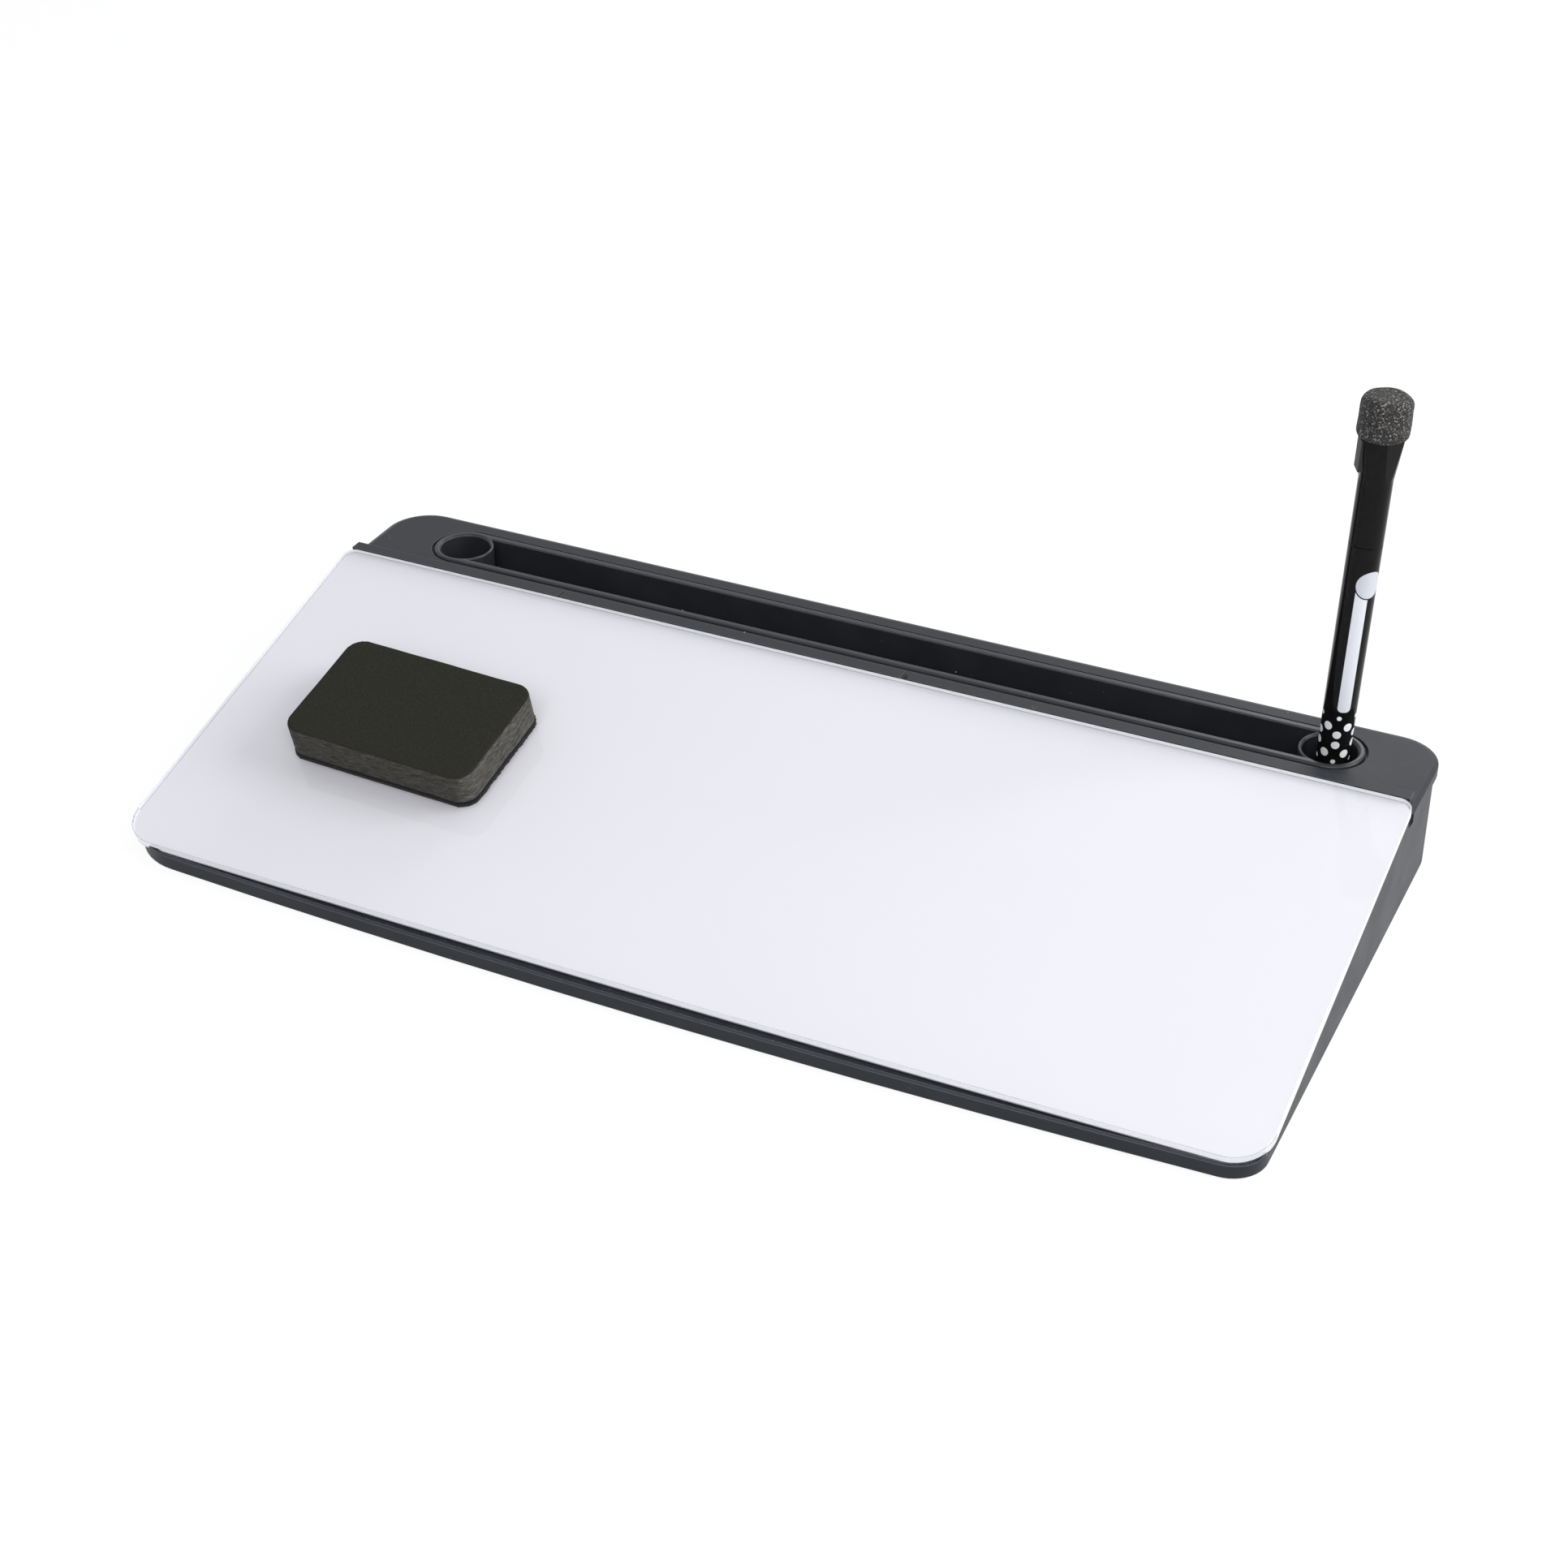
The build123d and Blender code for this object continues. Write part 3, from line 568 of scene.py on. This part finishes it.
# The prints on the barrel: angle round it in degrees, height up it and sizes in millimetres.
# A dot is its angle from the column's middle, its height and its radius; columns repeat round the barrel.
barrelPrint = {
    "radius": 5.5,
    "dotColumn": -100.5,
    "dotStep": 72.0,
    "dots": ((0.0, 33.5, 1.4), (0.0, 29.6, 1.4), (36.0, 36.3, 1.5), (36.0, 26.2, 1.5),
             (0.0, 39.8, 0.8), (0.0, 23.3, 0.8)),
    "strip": {"angle": -89.8, "middle": 65.2, "half": (2.15, 23.0), "corner": 1.6},
    "disc": {"angle": -65.0, "middle": 89.1, "radius": 4.75, "outline": 0.42},
    # one white ink at three levels: the disc's darker as painted shade against the lamp on it, the dots'
    # lighter as painted light against their shade
    "dotInkPaintedLight": (0.92, 0.925, 0.94),
    "stripInk": (0.74, 0.76, 0.81),
    "discInkPaintedShade": (0.6, 0.62, 0.67),
    "inkRoughness": 0.25,
}


def makeMarkerGloss(name, printed):
    look = glossLook
    made, tree, shader = newFinish(name, look)
    spot = millimetres(tree, markerPlace)
    haze = addNoise(tree, spot, look["haze"])
    colour = blendColour(tree, haze, look["dark"], look["light"])
    rough = remap(tree, haze, *look["hazeRange"], *look["roughRange"])
    if printed:
        colour, ink = addPrints(tree, spot, colour)
        rough = calc(tree, "ADD", rough, calc(tree, "MULTIPLY", ink, barrelPrint["inkRoughness"]))
    join(tree, colour, shader.inputs["Base Color"])
    join(tree, rough, shader.inputs["Roughness"])
    edge = useGroup(tree, softEdge, Radius=look["edge"])
    addBump(tree, shader, haze, look["bump"], look["depth"], edge["Normal"])
    return made


def addPrints(tree, spot, colour):
    # dots, strip and disc over the barrel's colour, and where any ink lies
    radius = barrelPrint["radius"]
    parts = addNode(tree, "SeparateXYZ")
    join(tree, spot, parts.inputs[0])
    east, north, height = parts.outputs
    bearing = calc(tree, "ARCTAN2", north, east)

    step = math.radians(barrelPrint["dotStep"])
    fromColumn = calc(tree, "SUBTRACT", bearing, math.radians(barrelPrint["dotColumn"]))
    fromColumn = calc(tree, "ABSOLUTE", calc(tree, "WRAP", fromColumn, step / 2, -step / 2))
    dotSpot = flatSpot(tree, calc(tree, "MULTIPLY", fromColumn, radius), height)
    dots = None
    for angle, middle, size in barrelPrint["dots"]:
        dot = stamp(tree, dotSpot, (math.radians(angle) * radius, middle), size)
        dots = dot if dots is None else calc(tree, "MAXIMUM", dots, dot)

    disc = barrelPrint["disc"]
    discSpot = unrolled(tree, bearing, height, disc["angle"])
    patch = stamp(tree, discSpot, (0.0, disc["middle"]), disc["radius"])
    ring = stamp(tree, discSpot, (0.0, disc["middle"]), disc["radius"] + disc["outline"])

    strip = barrelPrint["strip"]
    stripSpot = unrolled(tree, bearing, height, strip["angle"])
    half = tuple(side - strip["corner"] for side in strip["half"])
    band = stamp(tree, stripSpot, (0.0, strip["middle"]), strip["corner"], half)
    band = calc(tree, "MULTIPLY", band, calc(tree, "SUBTRACT", 1.0, ring))

    for mask, ink in ((dots, "dotInkPaintedLight"), (band, "stripInk"), (patch, "discInkPaintedShade")):
        colour = blendColour(tree, mask, colour, barrelPrint[ink])
    return colour, calc(tree, "MAXIMUM", dots, calc(tree, "MAXIMUM", band, patch))


def stamp(tree, spot, centre, corner, half=(0.0, 0.0)):
    # where a print lies: a box with rounded corners, or a disc when it has no half sides
    return useGroup(tree, printMark, Vector=spot, Centre=centre + (0.0,), Half=half + (0.0,),
                    Corner=corner)["Mask"]


def unrolled(tree, bearing, height, angle):
    # millimetres round the barrel from the given angle, and up it
    turned = calc(tree, "SUBTRACT", bearing, math.radians(angle))
    turned = calc(tree, "WRAP", turned, math.pi, -math.pi)
    return flatSpot(tree, calc(tree, "MULTIPLY", turned, barrelPrint["radius"]), height)


def flatSpot(tree, across, height):
    flat = addNode(tree, "CombineXYZ")
    join(tree, across, flat.inputs[0])
    join(tree, height, flat.inputs[1])
    return flat.outputs[0]


headLook = {
    "colour": (0.04, 0.04, 0.042), "rough": 0.75, "level": 0.4,
    "dark": (0.009, 0.009, 0.009), "light": (0.036, 0.035, 0.034),
    "grains": {"Scale": 2.6},
    # painted glint: the colour a few grains take as highlights
    "paintedGlint": (0.42, 0.39, 0.37),
    "glintRange": (0.6, 1.0),
    "glintPower": 2.5,
    "pores": {"Scale": 1.6, "Detail": 4.0},
    "poreRange": (0.5, 0.36),
    # painted shade: the pores darkened where the bump is lowest
    "poreShadeColour": (0.006, 0.006, 0.006),
    "bump": 0.9,
    "depth": 0.0003,
}


def makeHeadFoam():
    # granular foam: most grains dark, a few painted pale as glints
    look = headLook
    made, tree, shader = newFinish("headFoam", look)
    spot = millimetres(tree, markerPlace)
    grains = addPattern(tree, "TexVoronoi", spot, look["grains"])
    split = addNode(tree, "SeparateColor")
    join(tree, grains["Color"], split.inputs[0])
    paintedGlint = calc(tree, "POWER", remap(tree, split.outputs[0], *look["glintRange"]), look["glintPower"])
    colour = blendColour(tree, split.outputs[1], look["dark"], look["light"])
    colour = blendColour(tree, paintedGlint, colour, look["paintedGlint"])
    pores = addNoise(tree, spot, look["pores"])
    # painted shade in the pores' hollows
    colour = blendColour(tree, remap(tree, pores, *look["poreRange"]), colour, look["poreShadeColour"])
    join(tree, colour, shader.inputs["Base Color"])
    addBump(tree, shader, calc(tree, "ADD", grains["Distance"], pores), look["bump"], look["depth"])
    return made


# The small, mostly hidden pieces: two tones, a fine texture and a soft edge with a painted highlight
plainWearAndHighlight = {"edge": 0.0003, "edgeHighlightShare": 0.3, "edgeHighlightGain": 2.0, "roughSpread": 0.05, "bump": 0.3}

plainLooks = {
    "screwSteel": {"colour": (0.32, 0.32, 0.33), "light": (0.42, 0.42, 0.42), "rough": 0.35, "level": 0.5,
                   "pitch": 6.0, "depth": 0.00002, "metallic": 1.0},
    "footRubber": {"colour": (0.02, 0.02, 0.02), "light": (0.032, 0.032, 0.031), "rough": 0.85, "level": 0.3,
                   "pitch": 4.0, "depth": 0.0001, "metallic": 0.0},
    "inkFibre": {"colour": (0.015, 0.015, 0.02), "light": (0.03, 0.03, 0.04), "rough": 0.9, "level": 0.2,
                 "pitch": 5.0, "depth": 0.00015, "metallic": 0.0},
    "nibHolder": {"colour": (0.02, 0.02, 0.021), "light": (0.03, 0.03, 0.031), "rough": 0.5, "level": 0.4,
                  "pitch": 3.0, "depth": 0.00004, "metallic": 0.0},
    "nibFibre": {"colour": (0.008, 0.008, 0.01), "light": (0.02, 0.02, 0.022), "rough": 0.95, "level": 0.2,
                 "pitch": 6.0, "depth": 0.0001, "metallic": 0.0},
    "magnetGrey": {"colour": (0.02, 0.02, 0.0215), "light": (0.03, 0.03, 0.032), "rough": 0.55, "level": 0.25,
                   "pitch": 4.0, "depth": 0.00005, "metallic": 0.0},
}


def makePlain(name):
    look = plainLooks[name]
    wearAndHighlight = plainWearAndHighlight
    made, tree, shader = newFinish(name, look)
    shader.inputs["Metallic"].default_value = look["metallic"]
    grain = useGroup(tree, mouldGrain, Vector=millimetres(tree), Pitch=look["pitch"])
    edge = useGroup(tree, softEdge, Radius=wearAndHighlight["edge"])
    colour = blendColour(tree, grain["Mottle"], look["colour"], look["light"])
    # painted highlight: the light tone, doubled, along every edge
    edgeHighlightShare = calc(tree, "MULTIPLY", edge["Edge"], wearAndHighlight["edgeHighlightShare"])
    edgeHighlightColour = tuple(min(1.0, part * wearAndHighlight["edgeHighlightGain"]) for part in look["light"])
    join(tree, blendColour(tree, edgeHighlightShare, colour, edgeHighlightColour), shader.inputs["Base Color"])
    spread = wearAndHighlight["roughSpread"]
    rough = remap(tree, grain["Mottle"], 0, 1, look["rough"] - spread, look["rough"] + spread)
    join(tree, rough, shader.inputs["Roughness"])
    addBump(tree, shader, grain["Height"], wearAndHighlight["bump"], look["depth"], edge["Normal"])
    return made


finishes = {
    "bodyPlastic": makePlastic("bodyPlastic"),
    "trayPlastic": makePlastic("trayPlastic"),
    "clearGlass": makeGlass(),
    "whiteCoat": makeWhiteCoat(),
    "groundGlass": makeGroundGlass(),
    "coatRimShade": makeCoatRimShade(),
    "tapeFoam": makeTape(),
    "eraserFoam": makeEraserFoam(),
    "eraserFelt": makeFelt(),
    "markerPrinted": makeMarkerGloss("markerPrinted", True),
    "markerGloss": makeMarkerGloss("markerGloss", False),
    "headFoam": makeHeadFoam(),
}
for plainName in plainLooks:
    finishes[plainName] = makePlain(plainName)

nodeFinish = {
    "housing": "bodyPlastic", "bottom_cover": "bodyPlastic", "pen_tray": "trayPlastic",
    "base_screws": "screwSteel", "rubber_feet": "footRubber", "glass_panel": "clearGlass",
    "white_backing": "whiteCoat", "adhesive_strips": "tapeFoam", "eraser_foam": "eraserFoam",
    "eraser_felt": "eraserFelt", "marker_barrel": "markerPrinted", "marker_end_plug": "markerGloss",
    "ink_reservoir": "inkFibre", "nib_section": "nibHolder", "marker_nib": "nibFibre",
    "marker_cap": "markerGloss", "cap_inner_seal": "nibHolder", "cap_magnet": "magnetGrey",
    "foam_head": "headFoam",
}
for nodeName, finishName in nodeFinish.items():
    for materialSlot in nodes[nodeName].material_slots:
        materialSlot.material = finishes[finishName]
print("finishes on the packed nodes")


# New pieces; their sizes are in millimetres

sharpTurn = 1.0  # radians between two faces, past which their edge is sharp
levelWithin = 1e-7  # metres that a level edge may climb


def meshFrom(bm, name):
    mesh = bpy.data.meshes.new(name)
    bm.to_mesh(mesh)
    bm.free()
    return mesh


def placeInScene(name, data):
    made = bpy.data.objects.new(name, data)
    bpy.context.scene.collection.objects.link(made)
    return made


def finishMesh(bm, name, place, finishNames, smooth=True):
    # the faces' material indexes count the given finishes
    bmesh.ops.transform(bm, matrix=place, verts=bm.verts)
    mesh = meshFrom(bm, name)
    for finish in finishNames:
        mesh.materials.append(finishes[finish])
    for face in mesh.polygons:
        face.use_smooth = smooth
    return placeInScene(name, mesh)


def isSharp(edge):
    return edge.calc_face_angle(0) > sharpTurn


def climb(edge):
    return abs(edge.verts[0].co.z - edge.verts[1].co.z)


def roundOff(bm, edges, offset, segments):
    bmesh.ops.bevel(bm, geom=edges, offset=offset, affect="EDGES", segments=segments, profile=0.5,
                    material=-1)


def remeshed(bm, voxel):
    # the same shape as an even skin of small faces
    holder = placeInScene("roughShape", meshFrom(bm, "roughShape"))
    skin = holder.modifiers.new("skin", "REMESH")
    skin.mode = "VOXEL"
    skin.voxel_size = voxel
    bpy.context.view_layer.update()
    fine = bpy.data.meshes.new_from_object(holder.evaluated_get(bpy.context.evaluated_depsgraph_get()))
    bpy.data.objects.remove(holder)
    made = bmesh.new()
    made.from_mesh(fine)
    return made


cornerSteps = 12
rimSteps = 3


def roundedBlock(size, corner, rim, low):
    # a block in metres with rounded upright corners and a small rounding on its rims
    bm = bmesh.new()
    bmesh.ops.create_cube(bm, size=1.0)
    bmesh.ops.scale(bm, vec=size, verts=bm.verts)
    bmesh.ops.translate(bm, vec=(0, 0, low + size[2] / 2), verts=bm.verts)
    roundOff(bm, [edge for edge in bm.edges if climb(edge) > size[2] / 2], corner, cornerSteps)
    roundOff(bm, [edge for edge in bm.edges if climb(edge) < levelWithin and isSharp(edge)], rim, rimSteps)
    return bm


seedShift = (1.0, 0.7, 1.3)  # how far a skin's seed moves its noise along each axis
raggedSteps = (1.0, 2.0, 3)  # the fractal noise's fall-off, gap between octaves and their number


def roughen(bm, skin):
    # pushes each point along its normal by smooth noise, and the sides by a second one too
    bm.normal_update()
    shift = Vector([skin["seed"] * part for part in seedShift])
    moves = []
    for v in bm.verts:
        amount = noise.noise(v.co / (skin["wave"] * mm) + shift) * (skin["depth"] * mm)
        if abs(v.normal.z) < skin["sideTilt"]:
            ragged = noise.fractal(v.co / (skin["sideWave"] * mm) + shift, *raggedSteps)
            amount += ragged * (skin["sideDepth"] * mm)
        moves.append(v.normal * amount)
    for v, move in zip(bm.verts, moves):
        v.co += move


# The outline of the glass, from the middle of the writing surface; trims are its corners' roundings
plateSizes = {
    "width": 400.0, "rear": 76.7, "frontCorner": -75.2, "bow": 1.5, "thick": 3.0, "arris": 0.35,
    "frontTrim": 12.81, "rearTrim": 4.5,
    "bowSteps": 24, "cornerSteps": 20,
    "frontZone": -60.0,  # faces before this line are the front edge
    "flatArea": 1000.0,  # square millimetres, more than any face but the flat ones has
}
coatSizes = {"inset": 0.02, "low": -3.3, "bite": 0.03}
groundSizes = {"bite": 0.08, "proud": 0.04}


def platePrism(inset, low, high):
    # the outline of the glass drawn in or out by an inset, raised from low to high
    sizes = plateSizes
    half = sizes["width"] / 2 - inset
    rear = sizes["rear"] - inset
    corner = sizes["frontCorner"] + inset
    steps = sizes["bowSteps"]
    outline = [(half, rear), (-half, rear)]
    for index in range(steps + 1):
        x = half * (2 * index / steps - 1)
        outline.append((x, corner - sizes["bow"] * (1 - (x / half) ** 2)))
    bm = bmesh.new()
    base = bm.faces.new([bm.verts.new((x * mm, y * mm, low * mm)) for x, y in outline])
    raised = bmesh.ops.extrude_face_region(bm, geom=[base])["geom"]
    lifted = [part for part in raised if isinstance(part, bmesh.types.BMVert)]
    bmesh.ops.translate(bm, vec=(0, 0, (high - low) * mm), verts=lifted)
    bmesh.ops.recalc_face_normals(bm, faces=bm.faces)
    for front, trim in ((True, sizes["frontTrim"]), (False, sizes["rearTrim"])):
        corners = [edge for edge in bm.edges if climb(edge) > levelWithin and isSharp(edge)
                   and (edge.verts[0].co.y < 0) == front]
        roundOff(bm, corners, (trim - inset) * mm, sizes["cornerSteps"])
    return bm


def inFront(face):
    return face.calc_center_median().y < plateSizes["frontZone"] * mm


def flatFaces(bm):
    return [face for face in bm.faces if face.calc_area() > plateSizes["flatArea"] * mm * mm]


def makeCoatSheet():
    # the coat turns up over the lower arris, and bites a little into the glass for optical contact
    sizes = coatSizes
    arris = plateSizes["arris"]
    bm = platePrism(sizes["inset"], sizes["low"], arris - plateSizes["thick"])
    top = max(bm.faces, key=lambda face: face.calc_center_median().z)
    flank = bmesh.ops.inset_region(bm, faces=[top], thickness=arris * mm, depth=(sizes["bite"] - arris) * mm,
                                   use_even_offset=True)["faces"]
    # the flank, except at the front, takes the painted shade line
    for face in flank:
        face.material_index = 0 if inFront(face) else 1
    sheet = finishMesh(bm, "coatSheet", glassPlace, ["whiteCoat", "coatRimShade"], smooth=False)
    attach(sheet, "root")
    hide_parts("white_backing")


def makeGroundEdge():
    # the ground band round the edge of the glass, a thin ring: matt, and polished clear at the front
    sizes = groundSizes
    arris = plateSizes["arris"]
    bm = platePrism(-sizes["proud"], arris - plateSizes["thick"], -arris)
    bmesh.ops.inset_region(bm, faces=flatFaces(bm), thickness=(sizes["bite"] + sizes["proud"]) * mm,
                           use_even_offset=True)
    inner = flatFaces(bm)
    bmesh.ops.bridge_loops(bm, edges=[edge for face in inner for edge in face.edges])
    bmesh.ops.delete(bm, geom=inner, context="FACES_ONLY")
    bmesh.ops.recalc_face_normals(bm, faces=bm.faces)
    for face in bm.faces:
        face.material_index = 1 if inFront(face) else 0
    ring = finishMesh(bm, "groundEdge", glassPlace, ["groundGlass", "clearGlass"], smooth=False)
    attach(ring, "root")


eraserSizes = {"length": 74.0, "width": 47.5, "foam": 11.8, "felt": 2.2, "corner": 6.5}

blockSizes = {
    "rim": 0.55,
    "voxel": 0.6,
    "skin": {"wave": 9, "depth": 0.09, "sideTilt": 0.6, "sideWave": 1.6, "sideDepth": 0.05, "seed": 3.1},
}

padSizes = {
    "proud": 0.1,
    "rim": 0.3,
    "low": 0.05,
    "lowest": 0.03,
    "voxel": 0.5,
    "skin": {"wave": 3, "depth": 0.02, "sideTilt": 0.6, "sideWave": 0.9, "sideDepth": 0.28, "seed": 7.7},
}

# Loose fibres at the felt's cut edge: one at every few points, thin cones
fibreSizes = {
    "seed": 1,
    "every": 9,
    "sides": 4,
    "edgeTilt": 0.35,
    "spinWave": 0.7,
    "spin": 0.9,
    "shortest": 0.35,
    "longer": 0.4,
    "lift": 0.3,
    "root": 0.07,
    "tip": 0.02,
}


def makeEraserBlock():
    sizes = eraserSizes
    size = (sizes["length"] * mm, sizes["width"] * mm, sizes["foam"] * mm)
    bm = roundedBlock(size, sizes["corner"] * mm, blockSizes["rim"] * mm, sizes["felt"] * mm)
    bm = remeshed(bm, blockSizes["voxel"] * mm)
    roughen(bm, blockSizes["skin"])
    block = finishMesh(bm, "eraserBlock", eraserPlace, ["eraserFoam"])
    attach(block, "eraser")
    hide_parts("eraser_foam")


def makeEraserPad():
    # the felt under the foam: ragged at its cut edge, with loose fibres
    sizes = eraserSizes
    low = padSizes["low"]
    grown = 2 * padSizes["proud"]
    size = ((sizes["length"] + grown) * mm, (sizes["width"] + grown) * mm, (sizes["felt"] - low) * mm)
    bm = roundedBlock(size, sizes["corner"] * mm, padSizes["rim"] * mm, low * mm)
    bm = remeshed(bm, padSizes["voxel"] * mm)
    roughen(bm, padSizes["skin"])
    for v in bm.verts:
        v.co.z = max(v.co.z, padSizes["lowest"] * mm)
    addFibres(bm)
    pad = finishMesh(bm, "eraserPad", eraserPlace, ["eraserFelt"])
    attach(pad, "eraser")
    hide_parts("eraser_felt")


def addFibres(bm):
    sizes = fibreSizes
    noise.seed_set(sizes["seed"])  # noise_vector starts from the clock otherwise
    bm.normal_update()
    rim = [v for v in bm.verts if abs(v.normal.z) < sizes["edgeTilt"]]
    for index in range(0, len(rim), sizes["every"]):
        v = rim[index]
        spin = noise.noise_vector(v.co / (sizes["spinWave"] * mm))
        way = (v.normal + spin * sizes["spin"]).normalized()
        turn = way.to_track_quat("Z", "Y").to_matrix().to_4x4()
        length = (sizes["shortest"] + sizes["longer"] * abs(spin.x)) * mm
        place = Matrix.Translation(v.co + way * length * sizes["lift"]) @ turn
        bmesh.ops.create_cone(bm, segments=sizes["sides"], radius1=sizes["root"] * mm,
                              radius2=sizes["tip"] * mm, depth=length, cap_ends=True, matrix=place)


headSizes = {
    "radius": 8.2, "low": 138.9, "height": 13.7, "topRound": 3.1, "lowRound": 1.7,
    "sides": 64, "roundSteps": 8,
    "voxel": 0.28,
    "skin": {"wave": 5, "depth": 0.25, "sideTilt": 0.6, "sideWave": 0.6, "sideDepth": 0.08, "seed": 1.9},
}


def makeWiperHead():
    sizes = headSizes
    middle = (sizes["low"] + sizes["height"] / 2) * mm
    bm = bmesh.new()
    bmesh.ops.create_cone(bm, segments=sizes["sides"], radius1=sizes["radius"] * mm,
                          radius2=sizes["radius"] * mm, depth=sizes["height"] * mm, cap_ends=True)
    bmesh.ops.translate(bm, vec=(0, 0, middle), verts=bm.verts)
    for upper, offset in ((True, sizes["topRound"]), (False, sizes["lowRound"])):
        rim = [edge for edge in bm.edges if isSharp(edge)
               and all((v.co.z > middle) == upper for v in edge.verts)]
        roundOff(bm, rim, offset * mm, sizes["roundSteps"])
    bm = remeshed(bm, sizes["voxel"] * mm)
    roughen(bm, sizes["skin"])
    head = finishMesh(bm, "wiperHead", markerPlace, ["headFoam"])
    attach(head, "marker_cap")
    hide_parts("foam_head")


makeCoatSheet()
makeGroundEdge()
print("coat sheet and ground edge made")
makeEraserBlock()
print("eraser block made")
makeEraserPad()
print("eraser pad made")
makeWiperHead()
print("wiper head made")


# Floor, world, lamps and camera

# floorSeen and floorGlow are for the rays that show the background
studio = {
    "ambient": 0.41,
    "ambientColour": (0.935, 0.955, 1.0, 1),
    "background": (1, 1, 1, 1),
    "floorHalf": 4.0,
    "floorColour": (0.8, 0.8, 0.8, 1),
    "floorSeen": (0.14, 0.14, 0.14, 1),
    "floorGlow": 0.9,
    "lampAim": (0, 0, 0.03),
}


def seenShare(tree):
    # 1 for the rays that show the background: the camera's, reflected and refracted ones
    path = addNode(tree, "LightPath")
    share = calc(tree, "MAXIMUM", path.outputs["Is Camera Ray"], path.outputs["Is Glossy Ray"])
    return calc(tree, "MAXIMUM", share, path.outputs["Is Transmission Ray"])


def makeFloorPaper():
    made = bpy.data.materials.new("floorPaper")
    made.use_nodes = True
    tree = made.node_tree
    tree.nodes.remove(tree.nodes["Principled BSDF"])
    plain = addNode(tree, "BsdfDiffuse")
    plain.inputs["Color"].default_value = studio["floorColour"]
    faint = addNode(tree, "BsdfDiffuse")
    faint.inputs["Color"].default_value = studio["floorSeen"]
    glow = addNode(tree, "Emission")
    glow.inputs["Strength"].default_value = studio["floorGlow"]
    seen = addNode(tree, "AddShader")
    join(tree, faint.outputs[0], seen.inputs[0])
    join(tree, glow.outputs[0], seen.inputs[1])
    endWithMix(tree, seenShare(tree), plain, seen, tree.nodes["Material Output"])
    return made


def makeFloor():
    bm = bmesh.new()
    bmesh.ops.create_grid(bm, x_segments=1, y_segments=1, size=studio["floorHalf"])
    mesh = meshFrom(bm, "studioFloor")
    mesh.materials.append(makeFloorPaper())
    floor = placeInScene("studioFloor", mesh)


def makeWorld():
    world = bpy.data.worlds.new("studioWorld")
    bpy.context.scene.world = world
    world.use_nodes = True
    tree = world.node_tree
    ambient = tree.nodes["Background"]
    ambient.inputs["Color"].default_value = studio["ambientColour"]
    ambient.inputs["Strength"].default_value = studio["ambient"]
    white = addNode(tree, "Background")
    white.inputs["Color"].default_value = studio["background"]
    white.inputs["Strength"].default_value = 1.0
    endWithMix(tree, seenShare(tree), ambient, white, tree.nodes["World Output"])


softboxes = {
    "keyRight": {"place": (1.2, 0.3, 0.8), "size": (0.9, 0.9), "power": 12.5},
    "frontFill": {"place": (0.5, -1.35, 1.3), "size": (1.5, 0.9), "power": 16.0},
    "backRight": {"place": (0.15, 1.35, 0.85), "size": (0.8, 0.5), "power": 4.2},
}


def makeSoftbox(name):
    box = softboxes[name]
    data = bpy.data.lights.new(name, "AREA")
    data.shape = "RECTANGLE"
    data.size, data.size_y = box["size"]
    data.energy = box["power"]
    made = placeInScene(name, data)
    made.location = box["place"]
    aim = Vector(studio["lampAim"]) - Vector(box["place"])
    made.rotation_euler = aim.to_track_quat("-Z", "Y").to_euler()


# The photograph's camera, in metres and degrees
photoCamera = {
    "place": (0.34606, -0.70365, 0.53884),
    "turn": (56.8846, 0.3529, 25.6489),
    "lens": 64.93,
    "sensor": 36.0,
}


def makeCamera():
    data = bpy.data.cameras.new("photoCamera")
    data.lens = photoCamera["lens"]
    data.sensor_width = photoCamera["sensor"]
    data.sensor_fit = "HORIZONTAL"
    made = placeInScene("photoCamera", data)
    made.location = photoCamera["place"]
    made.rotation_euler = [math.radians(angle) for angle in photoCamera["turn"]]
    bpy.context.scene.camera = made


makeFloor()
makeWorld()
for boxName in softboxes:
    makeSoftbox(boxName)
makeCamera()
bpy.context.scene.view_settings.view_transform = "Standard"
print("studio and camera ready")
